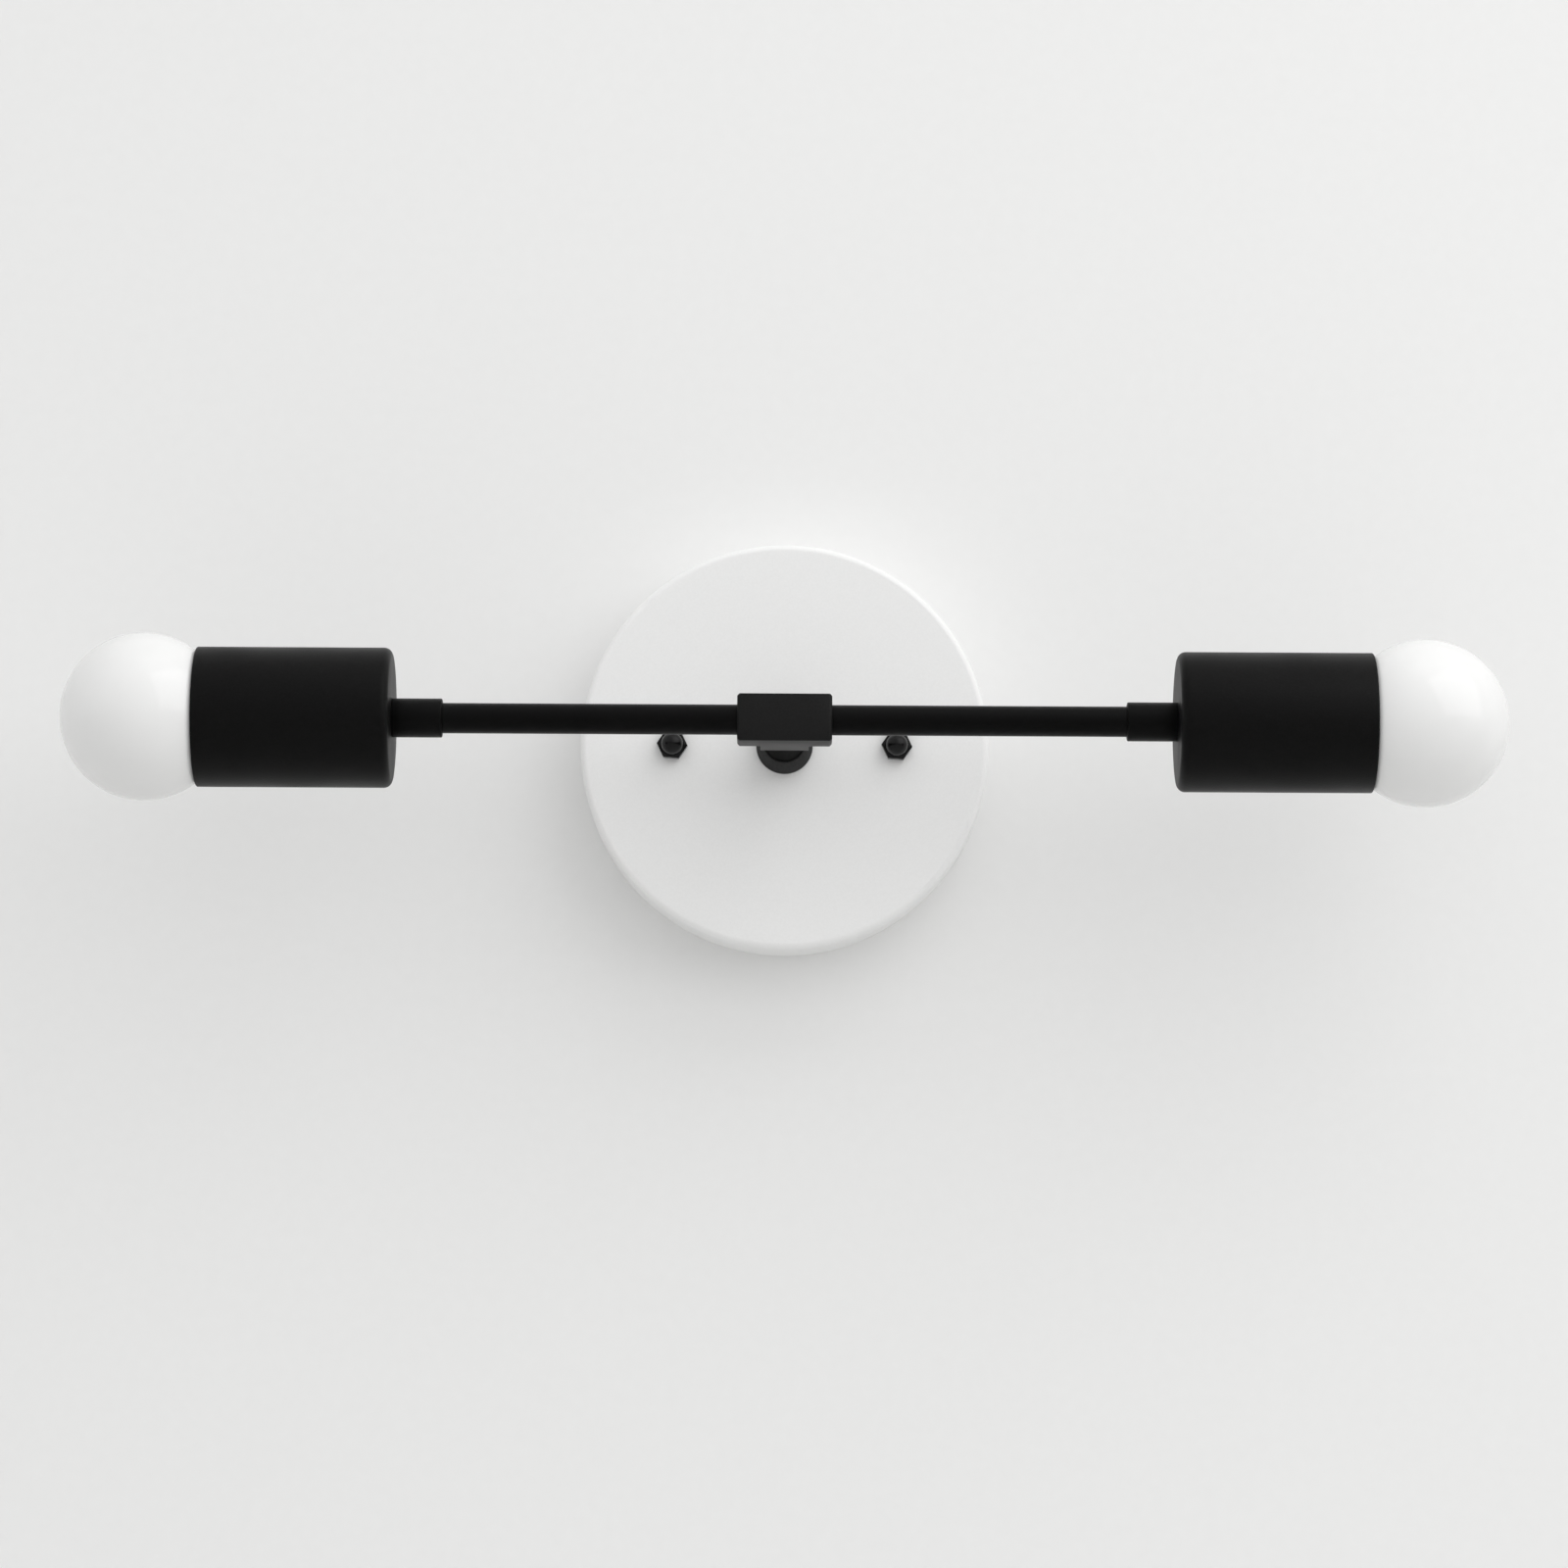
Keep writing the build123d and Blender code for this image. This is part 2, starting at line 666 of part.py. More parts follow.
def earth_lug():
    """Ring tag on the long nipple with a barrel for the earth wire."""
    ring = rod_on_y(lug_diameter, face_inner_y, lug_y)
    tongue = Box(lug_barrel_end, lug_thickness, lug_width)
    tongue = Pos(lug_barrel_end / 2, (face_inner_y + lug_y) / 2, 0) * tongue
    barrel = Pos(0, barrel_y, 0) * rod_on_x(2 * lug_barrel_radius, lug_barrel_start, lug_barrel_end)
    bore = Pos(0, barrel_y, 0) * rod_on_x(2 * lug_bore_radius, lug_barrel_start, lug_barrel_end)
    return ring + tongue + barrel - bore - rod_on_y(2 * pipe_hole_radius, face_inner_y, lug_y)


def earth_wire():
    """Bare wire from the lug to the earth screw."""
    wire_y = -crossbar_thickness - earth_gap / 2
    screw_side = earth_x - earth_screw_diameter / 2 - end_gap
    corner = (lug_barrel_end + screw_side) / 2
    points = [(lug_barrel_start, barrel_y, 0), (corner, barrel_y, 0), (corner, wire_y, 0),
              (screw_side, wire_y, 0)]
    return wire_along(points, [earth_wire_bend] * 2, earth_wire_diameter)


def both_sides(solids):
    """The given solids of the right-hand side, followed by their mirror images."""
    return solids + [mirror(solid, about=Plane.YZ) for solid in solids]


middle_nodes = {
    "canopy": [canopy()],
    "stem_collar": [stem_collar()],
    "stem_tube": [stem_tube()],
    "stem_nipple": [stem_nipple()],
    "stem_nut": [stem_nut()],
    "stem_lock_washer": [stem_lock_washer()],
    "tee_block": [tee_block()],
    "crossbar": [crossbar()],
    "mounting_studs": mounting_studs(),
    "stud_nuts": stud_nuts(),
    "cap_nuts": cap_nuts(),
    "earth_screw": [earth_screw()],
    "earth_lug": [earth_lug()],
    "earth_wire": [earth_wire()],
    "wire_connectors": wire_connectors(),
    "cup_nuts": both_sides([cup_nut()]),
    "cup_lock_washers": both_sides([cup_lock_washer()]),
    "bracket_screws": both_sides(bracket_screws()),
    "terminal_screws": both_sides(terminal_screws()),
}

side_nodes = {
    "arm_tube": arm_tube(),
    "arm_coupling": arm_coupling(),
    "socket_cup": socket_cup(),
    "cup_nipple": cup_nipple(),
    "socket_bracket": socket_bracket(),
    "lampholder_body": lampholder_body(),
    "lampholder_shell": lampholder_shell(),
    "lampholder_contact": lampholder_contact(),
    "live_wire": lead_wire(1),
    "neutral_wire": lead_wire(-1),
    "bulb_globe": bulb_globe(),
    "bulb_shell": bulb_shell(),
    "bulb_insulator": bulb_insulator(),
    "bulb_tip_contact": bulb_tip_contact(),
    "bulb_mount": bulb_mount(),
    "bulb_filament": bulb_filament(),
}

os.makedirs("parts", exist_ok=True)
for name, solids in middle_nodes.items():
    export_step(Compound(children=solids), f"parts/{name}.step")
for name, solid in side_nodes.items():
    export_step(solid, f"parts/right_{name}.step")
    export_step(mirror(solid, about=Plane.YZ), f"parts/left_{name}.step")
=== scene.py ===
"""Finishes, rolled threads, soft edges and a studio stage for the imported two-light vanity bar."""

import math

import bmesh
import bpy
from bpy.props import FloatProperty, FloatVectorProperty, PointerProperty
from mathutils import Matrix, Vector


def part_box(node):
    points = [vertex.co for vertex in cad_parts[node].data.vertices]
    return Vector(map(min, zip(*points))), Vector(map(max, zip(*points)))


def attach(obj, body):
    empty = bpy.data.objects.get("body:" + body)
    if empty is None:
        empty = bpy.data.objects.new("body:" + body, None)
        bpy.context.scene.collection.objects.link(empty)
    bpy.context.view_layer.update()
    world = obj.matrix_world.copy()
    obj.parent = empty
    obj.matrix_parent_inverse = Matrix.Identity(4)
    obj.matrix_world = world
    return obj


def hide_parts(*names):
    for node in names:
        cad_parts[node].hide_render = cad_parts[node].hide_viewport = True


bl_info = {
    "name": "Two-Light Vanity Bar",
    "version": (1, 0, 0),
    "blender": (4, 5, 0),
    "location": "View3D > Sidebar > Vanity Bar",
    "description": "Dresses the packed vanity bar in its finishes and threads, on a studio stage",
    "category": "Object",
}

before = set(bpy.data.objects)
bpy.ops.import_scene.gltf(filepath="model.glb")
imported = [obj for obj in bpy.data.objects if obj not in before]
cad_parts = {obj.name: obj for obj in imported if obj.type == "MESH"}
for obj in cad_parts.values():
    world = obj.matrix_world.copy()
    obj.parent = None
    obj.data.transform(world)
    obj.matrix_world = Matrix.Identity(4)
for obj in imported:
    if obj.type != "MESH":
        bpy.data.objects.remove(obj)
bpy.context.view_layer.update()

# Bodies of the frame
FIXTURE = "fixture"
SIDES = ("left", "right")

# Fineness of the meshes
TINY = 1e-6
SHARP_ANGLE = math.radians(32.0)
FACING = 0.9
FULL_ROUND = 0.999
ROUND_SEGMENTS = 6
BLOCK_SEGMENTS = 3
TURN_STEPS = 96
CUP_STEPS = 144
NUT_STEPS = 72
STUD_STEPS = 48
WALL_STEPS = 192
BASE_CUTS = 12
SCREW_CUTS = 8
CAP_CUT = 0.001

# Small rounds and clearances
FINE_ROUND = 0.0001
NUT_MOUTH_ROUND = 0.0003
DOME_FOOT_ROUND = 0.0002
CAP_ROUNDS = ((0, 0.0003), (1, 0.0006), (2, 0.0008), (3, 0.0012))
THREAD_CLEARANCE = 0.00005
WALL_CLEARANCE = 0.0001

# Cones on the nuts' corners, and ribs of the twist-on caps
CONE_SLOPE = math.tan(math.radians(30.0))
CONE_SHARE = 0.04
RIB_COUNT = 12
RIB_REACH = 0.9

# Range that noise mostly stays in, and the grain of the powder coats
NOISE_LOW = 0.3
NOISE_HIGH = 0.7
PEEL_SIZE = 0.0006

# Stage
SENSOR_WIDTH = 36.0
LAMP_AIM = Vector((0.0, -0.05, 0.0))
BACKDROP_SIDE = (0.0, 0.6, 1.0)
BACKDROP_START = -0.6
BACKDROP_END = 0.4


def span(node, axis):
    """Lowest and highest place of a CAD node along an axis, counted from X as 0."""
    low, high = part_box(node)
    return low[axis], high[axis]


def width(node, axis):
    """Extent of a CAD node along an axis."""
    low, high = span(node, axis)
    return high - low


def middle(node, axis):
    """Middle of a CAD node along an axis."""
    return sum(span(node, axis)) / 2


def from_wall(node):
    """Where a CAD node starts and ends in front of the wall."""
    low, high = span(node, 1)
    return -high, -low


ARM_Y = middle("right_arm_tube", 1)


# Sizes and colours that a user may change

def length(name, description, default):
    """Length property in metres."""
    return FloatProperty(name=name, description=description, default=default, min=0.0, precision=5,
                         subtype="DISTANCE", unit="LENGTH")


def colour(name, description, default):
    """Colour property."""
    return FloatVectorProperty(name=name, description=description, default=default, size=4, min=0.0, max=1.0,
                               subtype="COLOR")


def energy(name, description, default):
    """Lamp power property in watts."""
    return FloatProperty(name=name, description=description, default=default, min=0.0, subtype="POWER",
                         unit="POWER")


def place(name, description, default):
    """Place on the stage."""
    return FloatVectorProperty(name=name, description=description, default=default, subtype="TRANSLATION",
                               unit="LENGTH")


def share(name, description, default):
    """Number between nothing and all."""
    return FloatProperty(name=name, description=description, default=default, min=0.0, max=1.0,
                         subtype="FACTOR")


class VanitySizes(bpy.types.PropertyGroup):
    """Sizes of the edges, threads and small details."""

    edge_round: length("Edge Round", "Rounding of turned and milled edges", 0.0002)
    collar_rim: length("Collar Rim", "Height of the collar's straight rim", 0.0024)
    collar_floor: length("Collar Floor", "Thickness of the collar's floor", 0.002)
    collar_bore: length("Collar Bore", "Radius of the collar's bore around the stem", 0.00635)
    collar_tip: length("Collar Tip", "Radius of the collar's tip", 0.0068)
    pipe_hole: length("Pipe Hole", "Radius of the holes around the hollow nipples", 0.00515)
    block_neck: length("Block Neck", "Width of the neck behind the block", 0.0147)
    block_depth: length("Block Depth", "Depth of the block's bar", 0.0142)
    block_chamfer: length("Block Chamfer", "Chamfer at both ends of the block", 0.00065)
    coupling_round: length("Coupling Round", "Rounding of the coupling's free end", 0.00045)
    coupling_recess: length("Coupling Recess", "Depth of the recess around the arm", 0.002)
    coupling_gap: length("Coupling Gap", "Gap between the arm and the recess", 0.0003)
    cup_wall: length("Cup Wall", "Wall of the spun cups", 0.0009)
    cup_corner: length("Cup Corner", "Rounding of the cups' closed end", 0.0024)
    cup_rim: length("Cup Rim", "Rounding of the cups' outer rim", 0.0005)
    base_wall: length("Base Wall", "Wall of the bulb's screw shell", 0.0004)
    base_lip: length("Base Lip", "Radius inside the screw shell's drawn-in end", 0.01065)
    base_shoulder: length("Base Shoulder", "Height of the screw shell's drawn-in end", 0.0016)
    base_skirt: length("Base Skirt", "Plain skirt above the bulb's thread", 0.0034)
    base_pitch: length("Base Pitch", "Pitch of the bulb's thread", 0.003629)
    base_depth: length("Base Depth", "Depth of the bulb's thread", 0.0005)
    stud_pitch: length("Stud Pitch", "Pitch of the studs' thread", 0.000794)
    stud_depth: length("Stud Depth", "Depth of the studs' thread", 0.00042)
    pipe_pitch: length("Pipe Pitch", "Pitch of the nipples' thread", 0.000941)
    pipe_depth: length("Pipe Depth", "Depth of the nipples' thread", 0.00048)
    pipe_bore: length("Pipe Bore", "Radius of the nipples' bore", 0.00325)
    pipe_thread: length("Pipe Thread", "Threaded length at the nipple's ends", 0.014)
    nut_flats: length("Nut Flats", "Width across the cap nuts' flats", 0.0083)
    nut_hexagon: length("Nut Hexagon", "Height of the cap nuts' hexagon", 0.0034)
    nut_dome: length("Nut Dome", "Radius of the cap nuts' dome", 0.00345)
    nut_bore: length("Nut Bore", "Radius of the nuts' bore on the studs", 0.0021)
    nut_bore_depth: length("Nut Bore Depth", "Depth of the cap nuts' bore", 0.0058)
    nut_turn: FloatProperty(name="Nut Turn", description="Turn of the cap nuts on their studs",
                            default=math.radians(-4.5), subtype="ANGLE", unit="ROTATION")
    stud_spacing: length("Stud Spacing", "Distance between the two studs", 0.06985)
    stud_radius: length("Stud Radius", "Radius of the studs", 0.00205)
    stud_nut_flats: length("Stud Nut Flats", "Width across the flats of the studs' nuts", 0.0087)
    pipe_nut_flats: length("Pipe Nut Flats", "Width across the flats of the nipple's nut", 0.014)
    connector_length: length("Connector Length", "Length of the twist-on caps", 0.019)
    connector_tip: length("Connector Tip", "Radius of the twist-on caps' tips", 0.0037)
    connector_bore: length("Connector Bore", "Radius of the twist-on caps' bore", 0.0028)
    connector_bore_depth: length("Connector Bore Depth", "Depth of the twist-on caps' bore", 0.012)
    connector_band: length("Connector Band", "Height of the straight band at the caps' mouths", 0.003)
    connector_rib: length("Connector Rib", "Depth of the grooves between the caps' ribs", 0.0006)
    connector_rib_start: length("Connector Rib Start", "Distance of the ribs from the caps' mouths", 0.0035)
    connector_rib_run: length("Connector Rib Run", "Length over which the grooves deepen", 0.0015)


class VanityFinishes(bpy.types.PropertyGroup):
    """Colours of the finishes."""

    white_coat: colour("White Coat", "Powder coat of the canopy", (0.87, 0.87, 0.865, 1.0))
    black_coat: colour("Black Coat", "Powder coat of the block", (0.0030, 0.0030, 0.0030, 1.0))
    cup_black: colour("Cup Black", "Powder coat of the cups", (0.0012, 0.0012, 0.0012, 1.0))
    arm_black: colour("Arm Black", "Satin coat of the arms and couplings", (0.0006, 0.0006, 0.0006, 1.0))
    stem_black: colour("Stem Black", "Dead matt coat of the stem", (0.0030, 0.0030, 0.0030, 1.0))
    # Painted light: the block's black coat made paler to stand in for light falling on the collar's cone
    collar_black_painted_light: colour("Collar Black", "Matt coat of the collar", (0.0200, 0.0200, 0.0202, 1.0))
    black_plate: colour("Black Plate", "Plating of the cap nuts", (0.0030, 0.0030, 0.0031, 1.0))
    opal_glass: colour("Opal Glass", "Glass of the globes", (0.84, 0.84, 0.835, 1.0))
    zinc: colour("Zinc Plate", "Bright plating of hidden steel", (0.60, 0.61, 0.62, 1.0))
    green: colour("Earth Green", "Dyed plating of the earth screw", (0.03, 0.22, 0.07, 1.0))
    copper: colour("Copper", "Bare earth wire", (0.72, 0.36, 0.20, 1.0))
    tinned: colour("Tinned Brass", "Earth lug", (0.68, 0.67, 0.64, 1.0))
    brass: colour("Brass", "Screw shell, contact and terminal screws", (0.76, 0.56, 0.26, 1.0))
    porcelain: colour("Porcelain", "Glazed lampholder body", (0.82, 0.81, 0.77, 1.0))
    live: colour("Live Lead", "Insulation of the live leads", (0.012, 0.012, 0.012, 1.0))
    neutral: colour("Neutral Lead", "Insulation of the neutral leads", (0.78, 0.78, 0.75, 1.0))
    connector: colour("Connector", "Moulded twist-on caps", (0.80, 0.30, 0.03, 1.0))
    base_metal: colour("Base Metal", "Rolled shell of the bulb's base", (0.74, 0.73, 0.70, 1.0))
    black_glass: colour("Black Glass", "Insulator in the bulb's base", (0.012, 0.012, 0.014, 1.0))
    solder: colour("Solder", "Tip contact of the bulb", (0.60, 0.60, 0.59, 1.0))
    clear_glass: colour("Clear Glass", "Mount inside the bulb", (0.90, 0.92, 0.92, 1.0))
    tungsten: colour("Tungsten", "Filament wire", (0.30, 0.30, 0.31, 1.0))


class VanityStage(bpy.types.PropertyGroup):
    """Wall, floor, lights and camera."""

    wall: colour("Wall", "Colour of the wall", (0.87, 0.87, 0.865, 1.0))
    floor: colour("Floor", "Colour of the floor", (0.72, 0.72, 0.716, 1.0))
    floor_drop: length("Floor Drop", "Distance of the floor below the arms", 1.4)
    stage_reach: length("Stage Reach", "Half the width of the wall and the floor", 40.0)
    key_power: energy("Key Power", "Power of the large lamp at the upper right", 12.0)
    key_size: length("Key Size", "Width of the large lamp", 2.0)
    key_place: place("Key Place", "Place of the large lamp", (1.2, -1.1, 1.0))
    top_power: energy("Top Power", "Power of the lamp overhead", 2.0)
    top_size: length("Top Size", "Width of the lamp overhead", 1.4)
    top_place: place("Top Place", "Place of the lamp overhead", (0.5, -0.6, 1.75))
    rear_power: energy("Rear Power", "Power of the lamp behind the open canopy", 2.0)
    rear_size: length("Rear Size", "Width of the lamp behind the open canopy", 0.5)
    rear_place: place("Rear Place", "Place of the lamp behind the open canopy", (0.25, 0.8, 0.35))
    sky_side: FloatVectorProperty(name="Sky Side", default=(0.35, -0.6, 0.72), subtype="DIRECTION",
                                  description="Direction that most of the sky's light comes from")
    sky_bright: FloatProperty(name="Sky Bright", description="Light from the sky's bright side", default=1.03,
                              min=0.0)
    sky_dim: FloatProperty(name="Sky Dim", description="Light from the side across from it", default=0.53,
                           min=0.0)
    backdrop_pale: share("Backdrop Pale", "Brightness of the backdrop overhead and at the sides", 0.90)
    backdrop_dim: share("Backdrop Dim", "Brightness of the backdrop in front of the object", 0.70)
    camera_place: place("Camera Place", "Where the camera stands", (-0.00009, -1.6746, -0.2039))
    camera_lift: FloatProperty(name="Camera Lift", description="How far the camera looks up",
                               default=math.radians(6.640), subtype="ANGLE", unit="ROTATION")
    camera_roll: FloatProperty(name="Camera Roll", description="How far the camera leans",
                               default=math.radians(0.3135), subtype="ANGLE", unit="ROTATION")
    camera_lens: FloatProperty(name="Camera Lens", default=122.56, min=1.0, unit="CAMERA",
                               description="Focal length in millimetres on a 36 mm sensor")


# Node helpers for the finishes

def add_node(tree, kind, **inputs):
    """New node with some inputs set, each given by its name in lower case."""
    made = tree.nodes.new(kind)
    for name, value in inputs.items():
        made.inputs[name.replace("_", " ").title()].default_value = value
    return made


def grain(tree, size, detail=2.0, stretch=(1.0, 1.0, 1.0)):
    """Noise on the piece's own coordinates with features of about the given size."""
    coordinates = tree.nodes.new("ShaderNodeTexCoord")
    mapping = add_node(tree, "ShaderNodeMapping", scale=stretch)
    noise = add_node(tree, "ShaderNodeTexNoise", scale=1.0 / size, detail=detail)
    tree.links.new(coordinates.outputs["Object"], mapping.inputs["Vector"])
    tree.links.new(mapping.outputs["Vector"], noise.inputs["Vector"])
    return noise.outputs["Fac"]


def coloured(tree, shader, source, tone, darker, lighter):
    """Base colour that goes from a darker to a lighter share of a tone with the source."""
    made = tree.nodes.new("ShaderNodeValToRGB")
    low, high = made.color_ramp.elements
    low.position, high.position = NOISE_LOW, NOISE_HIGH
    low.color = [min(part * darker, 1.0) for part in tone[:3]] + [1.0]
    high.color = [min(part * lighter, 1.0) for part in tone[:3]] + [1.0]
    tree.links.new(source, made.inputs["Fac"])
    tree.links.new(made.outputs["Color"], shader.inputs["Base Color"])


def roughened(tree, shader, source, low, high):
    """Roughness that goes from low to high with the source."""
    made = add_node(tree, "ShaderNodeMapRange", from_min=NOISE_LOW, from_max=NOISE_HIGH, to_min=low,
                    to_max=high)
    tree.links.new(source, made.inputs["Value"])
    tree.links.new(made.outputs["Result"], shader.inputs["Roughness"])


def pressed(tree, shader, source, depth):
    """Bump of the given depth on the shader's normal."""
    made = add_node(tree, "ShaderNodeBump", strength=1.0, distance=depth)
    tree.links.new(source, made.inputs["Height"])
    tree.links.new(made.outputs["Normal"], shader.inputs["Normal"])


def finish(name, maker, tone, **settings):
    """The material of that name, made on first use."""
    made = bpy.data.materials.get(name)
    if made is None:
        made = bpy.data.materials.new(name)
        made.use_nodes = True
        tree = made.node_tree
        maker(tree, tree.nodes["Principled BSDF"], tone, **settings)
    return made


# Finishes

def powder_coat(tree, shader, tone, vary, depth, rough, specular):
    """Cured powder: fine peel whose crests are paler by a share of the tone, under a faint cloud of gloss."""
    peel = grain(tree, PEEL_SIZE, detail=3.0)
    cloud = grain(tree, size=0.02, detail=1.0)
    coloured(tree, shader, peel, tone, darker=1.0 - vary, lighter=1.0 + vary)
    roughened(tree, shader, cloud, low=rough - 0.04, high=rough + 0.04)
    shader.inputs["Specular IOR Level"].default_value = specular
    pressed(tree, shader, peel, depth)


def black_plating(tree, shader, tone):
    """Black plating with a semi-gloss face and fine polishing marks."""
    marks = grain(tree, size=0.0006)
    coloured(tree, shader, marks, tone, darker=0.8, lighter=1.3)
    roughened(tree, shader, marks, low=0.16, high=0.26)
    shader.inputs["Specular IOR Level"].default_value = 0.22
    pressed(tree, shader, marks, depth=0.000002)


def opal(tree, shader, tone):
    """Glossy opal glass with a faint unevenness of the blown wall."""
    cloud = grain(tree, size=0.018)
    coloured(tree, shader, cloud, tone, darker=0.99, lighter=1.01)
    roughened(tree, shader, cloud, low=0.02, high=0.04)
    shader.inputs["IOR"].default_value = 1.5
    pressed(tree, shader, cloud, depth=0.00004)


def plated_metal(tree, shader, tone, rough, size):
    """Bright metal with a fine cloudy plating and faint drawn streaks."""
    cloud = grain(tree, size, detail=3.0)
    streak = grain(tree, size / 4, stretch=(0.08, 1.0, 1.0))
    coloured(tree, shader, cloud, tone, darker=0.93, lighter=1.05)
    roughened(tree, shader, streak, low=rough - 0.02, high=rough + 0.03)
    shader.inputs["Metallic"].default_value = 1.0
    pressed(tree, shader, streak, depth=0.000001)


def glazed(tree, shader, tone):
    """Fired porcelain under a softly uneven glaze."""
    body = grain(tree, size=0.004, detail=3.0)
    coloured(tree, shader, body, tone, darker=0.96, lighter=1.03)
    roughened(tree, shader, body, low=0.14, high=0.24)
    pressed(tree, shader, body, depth=0.00003)


def moulded(tree, shader, tone, rough):
    """Moulded plastic with a fine spark-eroded grain."""
    skin = grain(tree, size=0.0005)
    coloured(tree, shader, skin, tone, darker=0.92, lighter=1.08)
    roughened(tree, shader, skin, low=rough - 0.05, high=rough + 0.05)
    pressed(tree, shader, skin, depth=0.00001)


def drawn_glass(tree, shader, tone):
    """Clear drawn glass."""
    wave = grain(tree, size=0.006, detail=1.0, stretch=(0.2, 1.0, 1.0))
    coloured(tree, shader, wave, tone, darker=0.98, lighter=1.02)
    roughened(tree, shader, wave, low=0.02, high=0.05)
    shader.inputs["Transmission Weight"].default_value = 1.0
    shader.inputs["IOR"].default_value = 1.5


def plaster(tree, shader, tone):
    """Plain painted wall or floor, seen from its front only."""
    roll = grain(tree, size=0.004)
    coloured(tree, shader, roll, tone, darker=0.99, lighter=1.0)
    shader.inputs["Roughness"].default_value = 0.9
    shader.inputs["Specular IOR Level"].default_value = 0.0
    geometry = tree.nodes.new("ShaderNodeNewGeometry")
    clear = tree.nodes.new("ShaderNodeBsdfTransparent")
    either = tree.nodes.new("ShaderNodeMixShader")
    tree.links.new(geometry.outputs["Backfacing"], either.inputs["Fac"])
    tree.links.new(shader.outputs["BSDF"], either.inputs[1])
    tree.links.new(clear.outputs["BSDF"], either.inputs[2])
    tree.links.new(either.outputs["Shader"], tree.nodes["Material Output"].inputs["Surface"])


def slot_finish(slot):
    """The material of one of the record's slots."""
    tones = bpy.context.scene.vanity_finishes
    makers = {
        "white_coat": (powder_coat, tones.white_coat,
                       {"vary": 0.016, "depth": 6e-6, "rough": 0.45, "specular": 0.5}),
        "black_coat": (powder_coat, tones.black_coat,
                       {"vary": 0.6, "depth": 35e-6, "rough": 0.46, "specular": 0.2}),
        "cup_black": (powder_coat, tones.cup_black,
                      {"vary": 0.6, "depth": 35e-6, "rough": 0.44, "specular": 0.11}),
        "arm_black": (powder_coat, tones.arm_black,
                      {"vary": 0.6, "depth": 25e-6, "rough": 0.38, "specular": 0.09}),
        "stem_black": (powder_coat, tones.stem_black,
                       {"vary": 0.6, "depth": 25e-6, "rough": 0.7, "specular": 0.012}),
        # Painted light: the same black powder coat as the block, given a paler tone for the light on the
        # collar's cone
        "collar_black_painted_light": (powder_coat, tones.collar_black_painted_light,
                         {"vary": 0.4, "depth": 25e-6, "rough": 0.7, "specular": 0.1}),
        "black_plate": (black_plating, tones.black_plate, {}),
        "zinc_steel": (plated_metal, tones.zinc, {"rough": 0.34, "size": 0.003}),
        "green_screw": (plated_metal, tones.green, {"rough": 0.36, "size": 0.002}),
        "copper_wire": (plated_metal, tones.copper, {"rough": 0.32, "size": 0.002}),
        "tinned_lug": (plated_metal, tones.tinned, {"rough": 0.36, "size": 0.002}),
        "brass": (plated_metal, tones.brass, {"rough": 0.28, "size": 0.003}),
        "porcelain": (glazed, tones.porcelain, {}),
        "live_insulation": (moulded, tones.live, {"rough": 0.42}),
        "neutral_insulation": (moulded, tones.neutral, {"rough": 0.42}),
        "connector_plastic": (moulded, tones.connector, {"rough": 0.34}),
        "opal_glass": (opal, tones.opal_glass, {}),
        "bulb_base_metal": (plated_metal, tones.base_metal, {"rough": 0.30, "size": 0.002}),
        "black_glass": (moulded, tones.black_glass, {"rough": 0.12}),
        "solder": (plated_metal, tones.solder, {"rough": 0.40, "size": 0.0012}),
        "clear_glass": (drawn_glass, tones.clear_glass, {}),
        "tungsten": (plated_metal, tones.tungsten, {"rough": 0.45, "size": 0.001}),
    }
    maker, tone, settings = makers[slot]
    return finish(slot + "_finish", maker, tone, **settings)


# Helpers for the pieces

def on_arm(side):
    """Moves what is turned about X onto the arms' axis, out towards its own side."""
    turn = math.pi if side == "left" else 0.0
    return Matrix.Translation((0.0, ARM_Y, 0.0)) @ Matrix.Rotation(turn, 4, "Z")


def on_wall(x=0.0, turn=0.0):
    """Points what is turned about X straight out from the wall, at a place along it."""
    out = Matrix.Rotation(-math.pi / 2, 4, "Z")
    return Matrix.Translation((x, 0.0, 0.0)) @ out @ Matrix.Rotation(turn, 4, "X")


def turned(corners, rounds=(), longest=None, steps=TURN_STEPS):
    """Mesh turned about X from (along, radius) corners; rounds pair a corner's number with a radius."""
    mesh = bmesh.new()
    verts = [mesh.verts.new((along, radius, 0.0)) for along, radius in corners]
    mesh.faces.new(verts)
    for number, radius in rounds:
        bmesh.ops.bevel(mesh, geom=[verts[number]], offset=radius, segments=ROUND_SEGMENTS, profile=0.5,
                        affect="VERTICES", material=-1)
    if longest:
        for edge in mesh.edges[:]:
            reach = abs(edge.verts[0].co.x - edge.verts[1].co.x)
            if reach > longest:
                bmesh.ops.subdivide_edges(mesh, edges=[edge], cuts=int(reach / longest))
    bmesh.ops.delete(mesh, geom=mesh.faces[:], context="FACES_ONLY")
    on_axis = [edge for edge in mesh.edges if max(vert.co.y for vert in edge.verts) < TINY]
    bmesh.ops.delete(mesh, geom=on_axis, context="EDGES")
    bmesh.ops.spin(mesh, geom=mesh.verts[:] + mesh.edges[:], cent=(0.0, 0.0, 0.0), axis=(1.0, 0.0, 0.0),
                   angle=math.tau, steps=steps, use_merge=True)
    bmesh.ops.remove_doubles(mesh, verts=mesh.verts[:], dist=TINY)
    bmesh.ops.recalc_face_normals(mesh, faces=mesh.faces[:])
    return mesh


